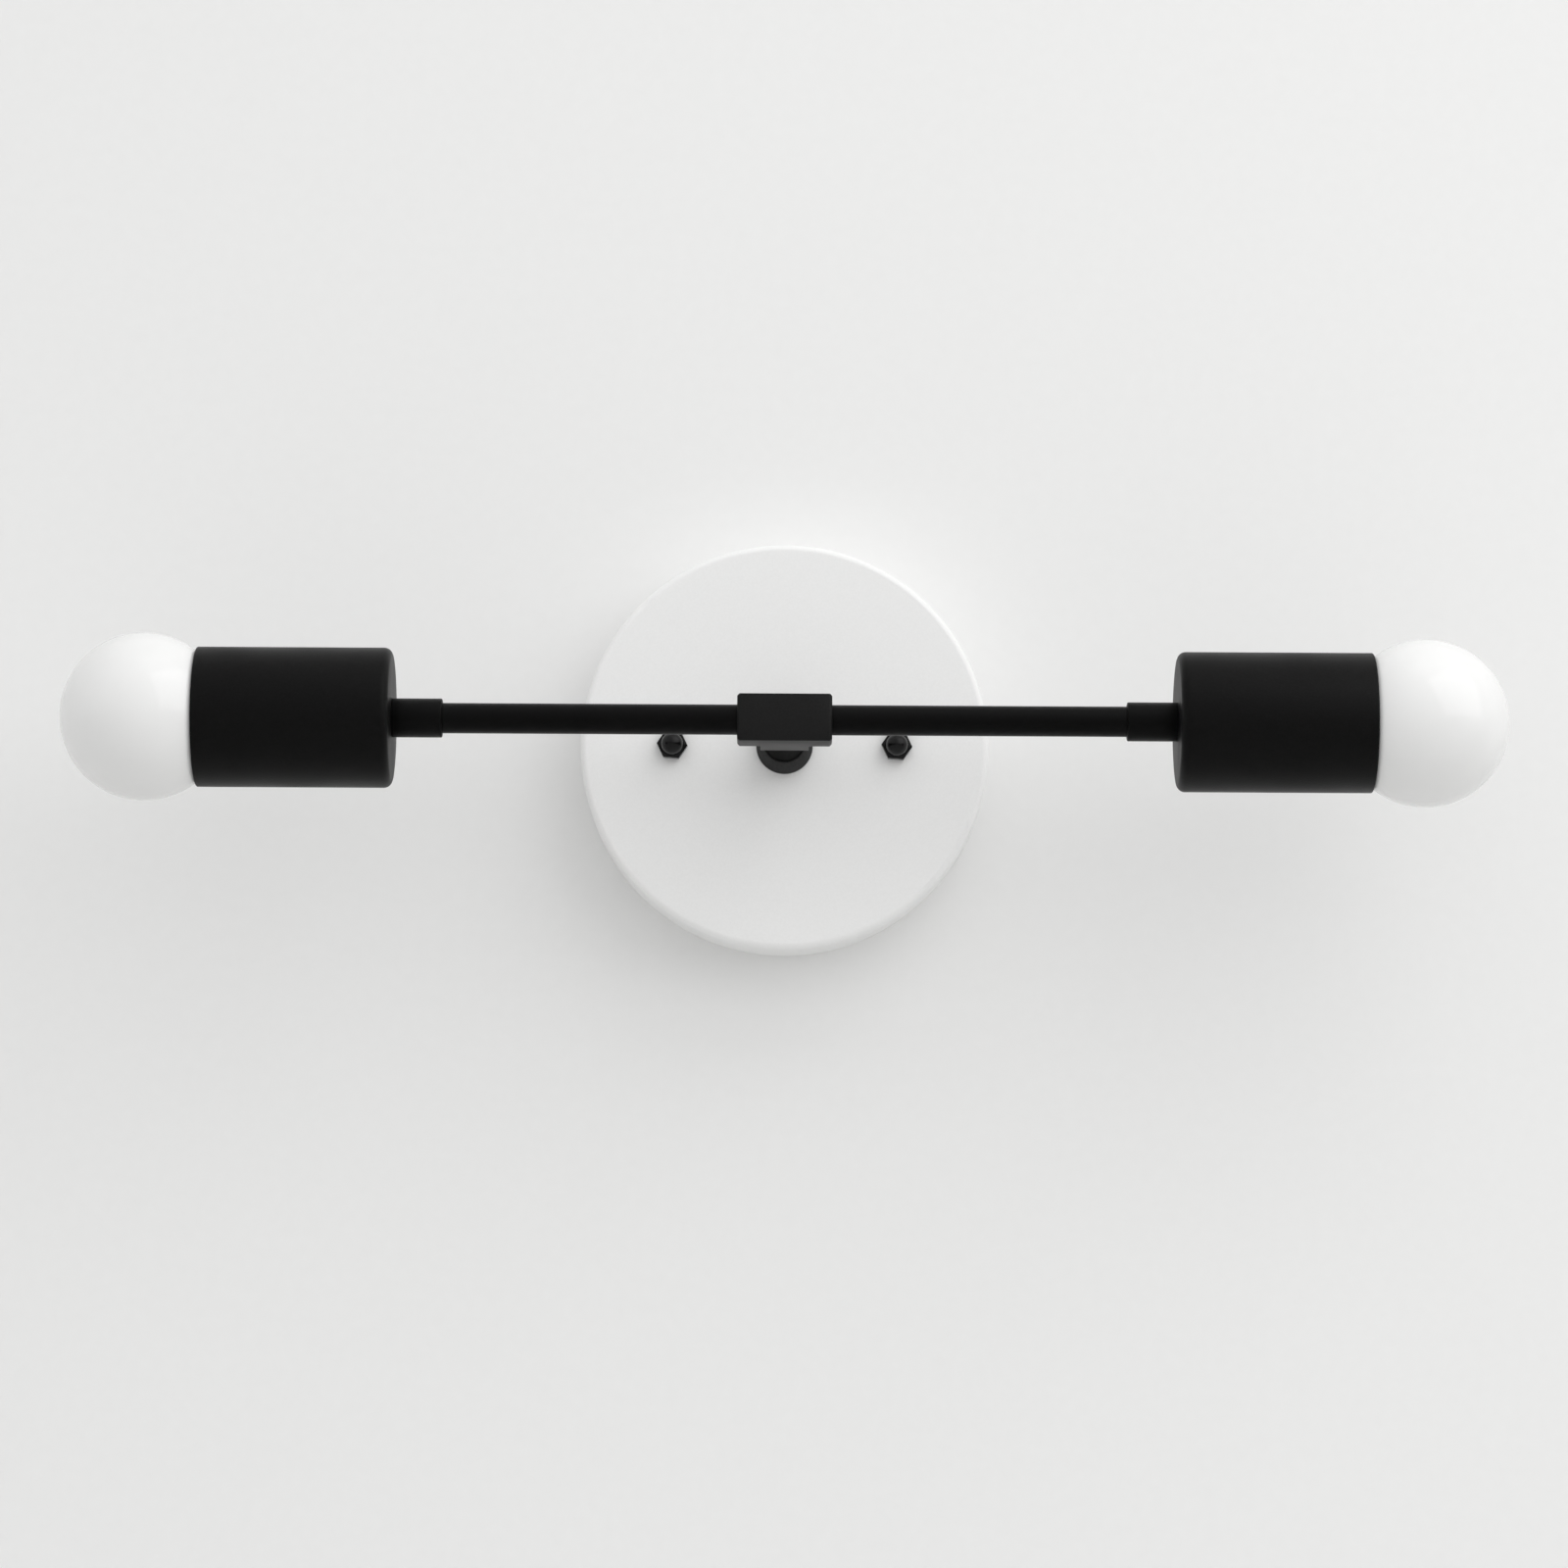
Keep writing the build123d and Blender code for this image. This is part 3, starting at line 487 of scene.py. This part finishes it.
def roll_thread(mesh, start, end, pitch, depth, core=0.0):
    """Rolls a right-hand thread into what lies outside the core, running out over a turn at both ends."""
    for vert in mesh.verts:
        along, y, z = vert.co
        radius = math.hypot(y, z)
        run_out = min(along - start, end - along, pitch) / pitch
        if run_out > 0.0 and radius > core:
            wave = 0.5 - 0.5 * math.cos(math.tau * along / pitch - math.atan2(z, y))
            vert.co.yz = Vector((y, z)) * (1.0 - run_out * depth * wave / radius)


def press_hexagon(mesh, flats, start, end):
    """Gives a turned nut six flats between start and end, with its corners coned off at both."""
    for vert in mesh.verts:
        along, y, z = vert.co
        radius = math.hypot(y, z)
        if abs(radius - flats / 2) < TINY:
            corner = 1.0 / math.cos(math.atan2(z, y) % (math.tau / 6) - math.tau / 12)
            drop = (corner - 1.0) * radius * CONE_SLOPE
            vert.co.yz = Vector((y, z)) * corner
            if abs(along - end) < TINY:
                vert.co.x -= drop
            elif abs(along - start) < TINY:
                vert.co.x += drop


def hexagon_nut(node, flats, thread):
    """Hexagon nut in a CAD node's place, coned at both ends, about a thread of the given radius."""
    start, end = from_wall(node)
    flat = flats / 2
    cone = CONE_SHARE * flat
    drop = cone * CONE_SLOPE
    bore = thread + THREAD_CLEARANCE
    corners = [(start, bore), (start, flat - cone), (start + drop, flat), (end - drop, flat),
               (end, flat - cone), (end, bore)]
    mesh = turned(corners, [(0, NUT_MOUTH_ROUND), (5, NUT_MOUTH_ROUND)], steps=NUT_STEPS)
    press_hexagon(mesh, flats, start + drop, end - drop)
    return mesh


def made_piece(name, mesh, matrix, slot, body, *nodes, paint=None):
    """Finished piece from a mesh: placed, shaded smooth between sharp edges, painted, riding on its body."""
    bmesh.ops.transform(mesh, matrix=matrix, verts=mesh.verts[:])
    for face in mesh.faces:
        face.smooth = True
    for edge in mesh.edges:
        edge.smooth = edge.calc_face_angle(0.0) < SHARP_ANGLE
    data = bpy.data.meshes.new(name)
    mesh.to_mesh(data)
    mesh.free()
    piece = bpy.data.objects.new(name, data)
    bpy.context.scene.collection.objects.link(piece)
    data.materials.append(slot_finish(paint or slot))
    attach(piece, body)
    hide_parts(*nodes)


def joined(meshes):
    """One mesh from several, each given with its place."""
    whole = bmesh.new()
    for mesh, matrix in meshes:
        bmesh.ops.transform(mesh, matrix=matrix, verts=mesh.verts[:])
        data = bpy.data.meshes.new("part")
        mesh.to_mesh(data)
        mesh.free()
        whole.from_mesh(data)
        bpy.data.meshes.remove(data)
    return whole


def paint_nodes(slot, *nodes):
    """Gives CAD nodes that stay as they are the finish of a slot."""
    for name in nodes:
        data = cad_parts[name].data
        data.materials.clear()
        data.materials.append(slot_finish(slot))


def both(name):
    """The names of a node of both sides."""
    return [f"{side}_{name}" for side in SIDES]


# Pieces

class VANITY_OT_canopy(bpy.types.Operator):
    """Coat the pressed pan on the wall"""

    bl_idname = "vanity.canopy"
    bl_label = "Canopy"

    def execute(self, context):
        paint_nodes("white_coat", "canopy")
        return {"FINISHED"}


class VANITY_OT_stem(bpy.types.Operator):
    """Turn the collar at the stem's foot and coat the stem"""

    bl_idname = "vanity.stem"
    bl_label = "Stem"

    def execute(self, context):
        sizes = context.scene.vanity_sizes
        foot, tip = from_wall("stem_collar")
        base = width("stem_collar", 0) / 2
        floor = foot + sizes.collar_floor
        corners = [(foot, sizes.pipe_hole), (foot, base), (foot + sizes.collar_rim, base),
                   (tip, sizes.collar_tip), (tip, sizes.collar_bore), (floor, sizes.collar_bore),
                   (floor, sizes.pipe_hole)]
        edge = sizes.edge_round
        mesh = turned(corners, [(1, edge / 2), (2, edge * 2), (3, edge), (4, edge / 2)])
        # The collar keeps the block's black coat slot but is painted paler: painted light on its cone
        made_piece("collar", mesh, on_wall(), "black_coat", FIXTURE, "stem_collar", paint="collar_black_painted_light")
        paint_nodes("stem_black", "stem_tube")
        return {"FINISHED"}


class VANITY_OT_tee_block(bpy.types.Operator):
    """Mill the square block with its neck, chamfer its ends and break its edges"""

    bl_idname = "vanity.tee_block"
    bl_label = "Tee Block"

    def execute(self, context):
        sizes = context.scene.vanity_sizes
        low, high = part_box("tee_block")
        bar_rear = low.y + sizes.block_depth
        mesh = bmesh.new()
        centre = Vector((0.0, (low.y + bar_rear) / 2, (low.z + high.z) / 2))
        scale = Matrix.Diagonal((high.x - low.x, sizes.block_depth, high.z - low.z, 1.0))
        bmesh.ops.create_cube(mesh, size=1.0, matrix=Matrix.Translation(centre) @ scale)
        for side in (-1.0, 1.0):
            whole = mesh.verts[:] + mesh.edges[:] + mesh.faces[:]
            bmesh.ops.bisect_plane(mesh, geom=whole, plane_co=(side * sizes.block_neck / 2, 0.0, 0.0),
                                   plane_no=(1.0, 0.0, 0.0))
        rear = [face for face in mesh.faces
                if face.normal.y > FACING and abs(face.calc_center_median().x) < sizes.block_neck / 2]
        grown = bmesh.ops.extrude_face_region(mesh, geom=rear)["geom"]
        bmesh.ops.delete(mesh, geom=[face for face in rear if face.is_valid], context="FACES_ONLY")
        moved = [part for part in grown if isinstance(part, bmesh.types.BMVert)]
        bmesh.ops.translate(mesh, vec=(0.0, high.y - bar_rear, 0.0), verts=moved)
        ends = [edge for edge in mesh.edges
                if all(abs(abs(vert.co.x) - high.x) < TINY for vert in edge.verts)]
        bmesh.ops.bevel(mesh, geom=ends, offset=sizes.block_chamfer, segments=1, profile=0.5, affect="EDGES",
                        material=-1)
        bmesh.ops.recalc_face_normals(mesh, faces=mesh.faces[:])
        corners = [edge for edge in mesh.edges if edge.is_convex and edge.calc_face_angle(0.0) > SHARP_ANGLE]
        bmesh.ops.bevel(mesh, geom=corners, offset=sizes.edge_round, segments=BLOCK_SEGMENTS, profile=0.5,
                        affect="EDGES", material=-1)
        made_piece("block", mesh, Matrix(), "black_coat", FIXTURE, "tee_block")
        return {"FINISHED"}


class VANITY_OT_arms(bpy.types.Operator):
    """Coat the arms and turn their couplings"""

    bl_idname = "vanity.arms"
    bl_label = "Arms"

    def execute(self, context):
        sizes = context.scene.vanity_sizes
        start, end = span("right_arm_coupling", 0)
        radius = width("right_arm_coupling", 1) / 2
        bore = width("right_arm_tube", 1) / 2
        mouth = bore + sizes.coupling_gap
        corners = [(start, mouth), (start, radius), (end, radius), (end, bore),
                   (start + sizes.coupling_recess, bore), (start + sizes.coupling_recess, mouth)]
        for side in SIDES:
            mesh = turned(corners, [(0, FINE_ROUND), (1, sizes.coupling_round), (2, FINE_ROUND)])
            made_piece(f"{side}_coupling", mesh, on_arm(side), "black_coat", FIXTURE, f"{side}_arm_coupling",
                       paint="arm_black")
        paint_nodes("arm_black", *both("arm_tube"))
        return {"FINISHED"}


class VANITY_OT_socket_cups(bpy.types.Operator):
    """Spin the two cups with their rounded ends and rims"""

    bl_idname = "vanity.socket_cups"
    bl_label = "Socket Cups"

    def execute(self, context):
        sizes = context.scene.vanity_sizes
        start, rim = span("right_socket_cup", 0)
        radius = width("right_socket_cup", 1) / 2
        inner = radius - sizes.cup_wall
        floor = start + sizes.cup_wall
        corners = [(start, sizes.pipe_hole), (start, radius), (rim, radius), (rim, inner), (floor, inner),
                   (floor, sizes.pipe_hole)]
        rounds = [(1, sizes.cup_corner), (2, sizes.cup_rim), (3, sizes.edge_round),
                  (4, sizes.cup_corner - sizes.cup_wall)]
        for side in SIDES:
            mesh = turned(corners, rounds, steps=CUP_STEPS)
            made_piece(f"{side}_cup", mesh, on_arm(side), "black_coat", FIXTURE, f"{side}_socket_cup",
                       paint="cup_black")
        return {"FINISHED"}


class VANITY_OT_globe_bulbs(bpy.types.Operator):
    """Give the globes their opal glass, and their mounts and filaments glass and wire"""

    bl_idname = "vanity.globe_bulbs"
    bl_label = "Globe Bulbs"

    def execute(self, context):
        paint_nodes("opal_glass", *both("bulb_globe"))
        paint_nodes("clear_glass", *both("bulb_mount"))
        paint_nodes("tungsten", *both("bulb_filament"))
        return {"FINISHED"}


class VANITY_OT_bulb_bases(bpy.types.Operator):
    """Roll the thread of the bulbs' screw shells, and finish the insulators and tips"""

    bl_idname = "vanity.bulb_bases"
    bl_label = "Bulb Bases"

    def execute(self, context):
        sizes = context.scene.vanity_sizes
        start, end = span("right_bulb_shell", 0)
        radius = width("right_bulb_shell", 1) / 2
        wall = sizes.base_wall
        shoulder = start + sizes.base_shoulder
        corners = [(end, radius), (shoulder, radius), (start, sizes.base_lip + wall), (start, sizes.base_lip),
                   (shoulder + wall / 2, radius - wall), (end, radius - wall)]
        rounds = [(0, wall / 3), (1, 2 * wall), (5, wall / 3)]
        for side in SIDES:
            mesh = turned(corners, rounds, longest=sizes.base_pitch / BASE_CUTS)
            roll_thread(mesh, shoulder, end - sizes.base_skirt, sizes.base_pitch, sizes.base_depth)
            made_piece(f"{side}_screw_base", mesh, on_arm(side), "bulb_base_metal", f"{side}_bulb",
                       f"{side}_bulb_shell")
        paint_nodes("black_glass", *both("bulb_insulator"))
        paint_nodes("solder", *both("bulb_tip_contact"))
        return {"FINISHED"}


class VANITY_OT_cap_nuts(bpy.types.Operator):
    """Turn the two domed nuts and press their hexagons"""

    bl_idname = "vanity.cap_nuts"
    bl_label = "Cap Nuts"

    def execute(self, context):
        sizes = context.scene.vanity_sizes
        seat, tip = from_wall("cap_nuts")
        flat = sizes.nut_flats / 2
        crown = seat + sizes.nut_hexagon
        cone = CONE_SHARE * flat
        shoulder = crown - cone * CONE_SLOPE
        dome = sizes.nut_dome
        bore_end = seat + sizes.nut_bore_depth
        corners = [(seat, sizes.nut_bore), (seat, flat), (shoulder, flat), (crown, flat - cone),
                   (crown, dome), (tip, dome), (tip, 0.0), (bore_end, 0.0), (bore_end, sizes.nut_bore)]
        meshes = []
        for side in (-1.0, 1.0):
            mesh = turned(corners, [(4, DOME_FOOT_ROUND), (5, dome * FULL_ROUND)], steps=NUT_STEPS)
            press_hexagon(mesh, sizes.nut_flats, 0.0, shoulder)
            meshes.append((mesh, on_wall(side * sizes.stud_spacing / 2, sizes.nut_turn)))
        made_piece("domed_nuts", joined(meshes), Matrix(), "black_plate", FIXTURE, "cap_nuts")
        return {"FINISHED"}


class VANITY_OT_lampholders(bpy.types.Operator):
    """Finish the porcelain lampholders, their brass and their brackets"""

    bl_idname = "vanity.lampholders"
    bl_label = "Lampholders"

    def execute(self, context):
        paint_nodes("porcelain", *both("lampholder_body"))
        paint_nodes("brass", "terminal_screws", *both("lampholder_shell"), *both("lampholder_contact"))
        paint_nodes("zinc_steel", "bracket_screws", *both("socket_bracket"))
        return {"FINISHED"}


class VANITY_OT_pipe_fittings(bpy.types.Operator):
    """Thread the long nipple, form its nut, and finish the nipples, nuts and washers in the cups"""

    bl_idname = "vanity.pipe_fittings"
    bl_label = "Pipe Fittings"

    def execute(self, context):
        sizes = context.scene.vanity_sizes
        start, end = from_wall("stem_nipple")
        radius = width("stem_nipple", 0) / 2
        edge = sizes.pipe_depth
        corners = [(start, sizes.pipe_bore), (start, radius - edge), (start + edge, radius),
                   (end - edge, radius), (end, radius - edge), (end, sizes.pipe_bore)]
        mesh = turned(corners, longest=sizes.pipe_pitch / SCREW_CUTS, steps=NUT_STEPS)
        core = (radius + sizes.pipe_bore) / 2
        for first, last in ((start, start + sizes.pipe_thread), (end - sizes.pipe_thread, end)):
            roll_thread(mesh, first, last, sizes.pipe_pitch, sizes.pipe_depth, core)
        made_piece("threaded_nipple", mesh, on_wall(), "zinc_steel", FIXTURE, "stem_nipple")
        nut = hexagon_nut("stem_nut", sizes.pipe_nut_flats, radius)
        made_piece("nipple_nut", nut, on_wall(), "zinc_steel", FIXTURE, "stem_nut")
        paint_nodes("zinc_steel", "stem_lock_washer", "cup_nuts", "cup_lock_washers", *both("cup_nipple"))
        return {"FINISHED"}


class VANITY_OT_crossbar(bpy.types.Operator):
    """Thread the studs, form their nuts, and finish the crossbar and the earth"""

    bl_idname = "vanity.crossbar"
    bl_label = "Crossbar"

    def execute(self, context):
        sizes = context.scene.vanity_sizes
        start, end = from_wall("mounting_studs")
        radius = sizes.stud_radius
        edge = sizes.stud_depth
        corners = [(start, 0.0), (start, radius - edge), (start + edge, radius), (end - edge, radius),
                   (end, radius - edge), (end, 0.0)]
        studs, nuts = [], []
        for side in (-1.0, 1.0):
            stud = turned(corners, longest=sizes.stud_pitch / SCREW_CUTS, steps=STUD_STEPS)
            roll_thread(stud, start, end, sizes.stud_pitch, sizes.stud_depth)
            studs.append((stud, on_wall(side * sizes.stud_spacing / 2)))
            nut = hexagon_nut("stud_nuts", sizes.stud_nut_flats, radius)
            nuts.append((nut, on_wall(side * sizes.stud_spacing / 2)))
        made_piece("threaded_studs", joined(studs), Matrix(), "zinc_steel", FIXTURE, "mounting_studs")
        made_piece("lock_nuts", joined(nuts), Matrix(), "zinc_steel", FIXTURE, "stud_nuts")
        paint_nodes("zinc_steel", "crossbar")
        paint_nodes("green_screw", "earth_screw")
        paint_nodes("tinned_lug", "earth_lug")
        paint_nodes("copper_wire", "earth_wire")
        return {"FINISHED"}


class VANITY_OT_leads(bpy.types.Operator):
    """Mould the ribbed twist-on caps and finish the leads"""

    bl_idname = "vanity.leads"
    bl_label = "Leads"

    def execute(self, context):
        sizes = context.scene.vanity_sizes
        tip = span("wire_connectors", 2)[1]
        mouth = tip - sizes.connector_length
        wide = width("wire_connectors", 0) / 2
        bore_end = mouth + sizes.connector_bore_depth
        corners = [(mouth, sizes.connector_bore), (mouth, wide), (mouth + sizes.connector_band, wide),
                   (tip, sizes.connector_tip), (tip, 0.0), (bore_end, 0.0), (bore_end, sizes.connector_bore)]
        rib_start = mouth + sizes.connector_rib_start
        caps = []
        for turn in (-math.pi / 2, math.pi / 2):
            mesh = turned(corners, CAP_ROUNDS, longest=CAP_CUT)
            for vert in mesh.verts:
                along, y, z = vert.co
                radius = math.hypot(y, z)
                run = min(1.0, max(0.0, along - rib_start) / sizes.connector_rib_run)
                depth = sizes.connector_rib * run
                if radius > sizes.connector_tip * RIB_REACH:
                    groove = 0.5 - 0.5 * math.cos(RIB_COUNT * math.atan2(z, y))
                    vert.co.yz = Vector((y, z)) * (1.0 - depth * groove / radius)
            out = Matrix.Translation((0.0, middle("wire_connectors", 1), 0.0)) @ Matrix.Rotation(turn, 4, "Y")
            caps.append((mesh, out))
        made_piece("twist_caps", joined(caps), Matrix(), "connector_plastic", FIXTURE, "wire_connectors")
        paint_nodes("live_insulation", *both("live_wire"))
        paint_nodes("neutral_insulation", *both("neutral_wire"))
        return {"FINISHED"}


# Stage

def stage_sheet(name, mesh, matrix, tone):
    """Wall or floor of the stage."""
    bmesh.ops.transform(mesh, matrix=matrix, verts=mesh.verts[:])
    data = bpy.data.meshes.new(name)
    mesh.to_mesh(data)
    mesh.free()
    sheet = bpy.data.objects.new(name, data)
    bpy.context.scene.collection.objects.link(sheet)
    data.materials.append(finish(name + "_paint", plaster, tone))


def stage_lamp(name, power, size, spot):
    """Soft square lamp, turned to the object."""
    data = bpy.data.lights.new(name, "AREA")
    data.energy = power
    data.size = size
    lamp = bpy.data.objects.new(name, data)
    aim = LAMP_AIM - Vector(spot)
    lamp.matrix_world = Matrix.Translation(spot) @ aim.to_track_quat("-Z", "Y").to_matrix().to_4x4()
    lamp.visible_camera = False
    bpy.context.scene.collection.objects.link(lamp)


class VANITY_OT_stage(bpy.types.Operator):
    """Set up the wall, the floor, the lights and the camera"""

    bl_idname = "vanity.stage"
    bl_label = "Stage"

    def execute(self, context):
        scene = context.scene
        stage = scene.vanity_stage
        wall = bmesh.new()
        opening = width("canopy", 0) / 2 - WALL_CLEARANCE
        bmesh.ops.create_circle(wall, radius=opening, segments=WALL_STEPS)
        ring = bmesh.ops.extrude_edge_only(wall, edges=wall.edges[:])["geom"]
        rim = [part for part in ring if isinstance(part, bmesh.types.BMVert)]
        bmesh.ops.scale(wall, vec=[stage.stage_reach / opening] * 3, verts=rim)
        bmesh.ops.recalc_face_normals(wall, faces=wall.faces[:])
        upright = Matrix.Translation((0.0, WALL_CLEARANCE, 0.0)) @ Matrix.Rotation(math.pi / 2, 4, "X")
        if wall.faces[:][0].normal.z < 0.0:
            bmesh.ops.reverse_faces(wall, faces=wall.faces[:])
        stage_sheet("stage_wall", wall, upright, stage.wall)
        floor = bmesh.new()
        bmesh.ops.create_grid(floor, x_segments=1, y_segments=1, size=stage.stage_reach)
        down = Matrix.Translation((0.0, -stage.stage_reach, -stage.floor_drop))
        stage_sheet("stage_floor", floor, down, stage.floor)
        stage_lamp("key_lamp", stage.key_power, stage.key_size, stage.key_place)
        stage_lamp("top_lamp", stage.top_power, stage.top_size, stage.top_place)
        stage_lamp("rear_lamp", stage.rear_power, stage.rear_size, stage.rear_place)
        self.surroundings(scene, stage)
        self.camera(scene, stage)
        scene.view_settings.view_transform = "Standard"
        return {"FINISHED"}

    def surroundings(self, scene, stage):
        """Soft sky that dims away from its bright side, and a backdrop, pale overhead and dim in front."""
        world = bpy.data.worlds.new("studio")
        world.use_nodes = True
        scene.world = world
        tree = world.node_tree
        sky = self.slope(tree, stage.sky_side, -1.0, 1.0, stage.sky_dim, stage.sky_bright)
        backdrop = self.slope(tree, BACKDROP_SIDE, BACKDROP_START, BACKDROP_END, stage.backdrop_dim,
                              stage.backdrop_pale)
        path = tree.nodes.new("ShaderNodeLightPath")
        seen = path.outputs["Is Camera Ray"]
        for ray in ("Is Glossy Ray", "Is Transmission Ray"):
            either = tree.nodes.new("ShaderNodeMath")
            either.operation = "MAXIMUM"
            tree.links.new(seen, either.inputs[0])
            tree.links.new(path.outputs[ray], either.inputs[1])
            seen = either.outputs["Value"]
        level = tree.nodes.new("ShaderNodeMix")
        tree.links.new(seen, level.inputs["Factor"])
        tree.links.new(sky, level.inputs["A"])
        tree.links.new(backdrop, level.inputs["B"])
        background = tree.nodes["Background"]
        background.inputs["Color"].default_value = (1.0, 1.0, 1.0, 1.0)
        tree.links.new(level.outputs["Result"], background.inputs["Strength"])

    def slope(self, tree, side, start, end, low, high):
        """Brightness that rises from low to high as a direction turns towards a side."""
        coordinates = tree.nodes.new("ShaderNodeTexCoord")
        along = tree.nodes.new("ShaderNodeVectorMath")
        along.operation = "DOT_PRODUCT"
        along.inputs[1].default_value = side
        level = add_node(tree, "ShaderNodeMapRange", from_min=start, from_max=end, to_min=low, to_max=high)
        tree.links.new(coordinates.outputs["Generated"], along.inputs[0])
        tree.links.new(along.outputs["Value"], level.inputs["Value"])
        return level.outputs["Result"]

    def camera(self, scene, stage):
        """Camera at the photograph's angle."""
        data = bpy.data.cameras.new("camera")
        data.lens = stage.camera_lens
        data.sensor_width = SENSOR_WIDTH
        data.dof.use_dof = False
        camera = bpy.data.objects.new("camera", data)
        lift = Matrix.Rotation(math.pi / 2 + stage.camera_lift, 4, "X")
        roll = Matrix.Rotation(stage.camera_roll, 4, "Z")
        camera.matrix_world = Matrix.Translation(stage.camera_place) @ lift @ roll
        scene.collection.objects.link(camera)
        scene.camera = camera


STEPS = (VANITY_OT_stage, VANITY_OT_canopy, VANITY_OT_stem, VANITY_OT_tee_block, VANITY_OT_arms,
         VANITY_OT_socket_cups, VANITY_OT_globe_bulbs, VANITY_OT_bulb_bases, VANITY_OT_cap_nuts,
         VANITY_OT_lampholders, VANITY_OT_pipe_fittings, VANITY_OT_crossbar, VANITY_OT_leads)


class VANITY_PT_sidebar(bpy.types.Panel):
    """Steps that dress the vanity bar"""

    bl_idname = "VANITY_PT_sidebar"
    bl_label = "Vanity Bar"
    bl_space_type = "VIEW_3D"
    bl_region_type = "UI"
    bl_category = "Vanity Bar"

    def draw(self, context):
        for step in STEPS:
            self.layout.operator(step.bl_idname)


GROUPS = {"vanity_sizes": VanitySizes, "vanity_finishes": VanityFinishes, "vanity_stage": VanityStage}


def register():
    """Adds the settings, steps and sidebar panel."""
    for name, group in GROUPS.items():
        bpy.utils.register_class(group)
        setattr(bpy.types.Scene, name, PointerProperty(type=group))
    for step in STEPS:
        bpy.utils.register_class(step)
    bpy.utils.register_class(VANITY_PT_sidebar)


def unregister():
    """Takes away the sidebar panel, steps and settings."""
    bpy.utils.unregister_class(VANITY_PT_sidebar)
    for step in STEPS:
        bpy.utils.unregister_class(step)
    for name, group in GROUPS.items():
        delattr(bpy.types.Scene, name)
        bpy.utils.unregister_class(group)


def main():
    """Dresses the part step by step."""
    register()
    bpy.ops.vanity.stage()
    bpy.ops.vanity.canopy()
    bpy.ops.vanity.stem()
    bpy.ops.vanity.tee_block()
    bpy.ops.vanity.arms()
    bpy.ops.vanity.socket_cups()
    bpy.ops.vanity.globe_bulbs()
    bpy.ops.vanity.bulb_bases()
    bpy.ops.vanity.cap_nuts()
    bpy.ops.vanity.lampholders()
    bpy.ops.vanity.pipe_fittings()
    bpy.ops.vanity.crossbar()
    bpy.ops.vanity.leads()


if __name__ == "__main__":
    main()
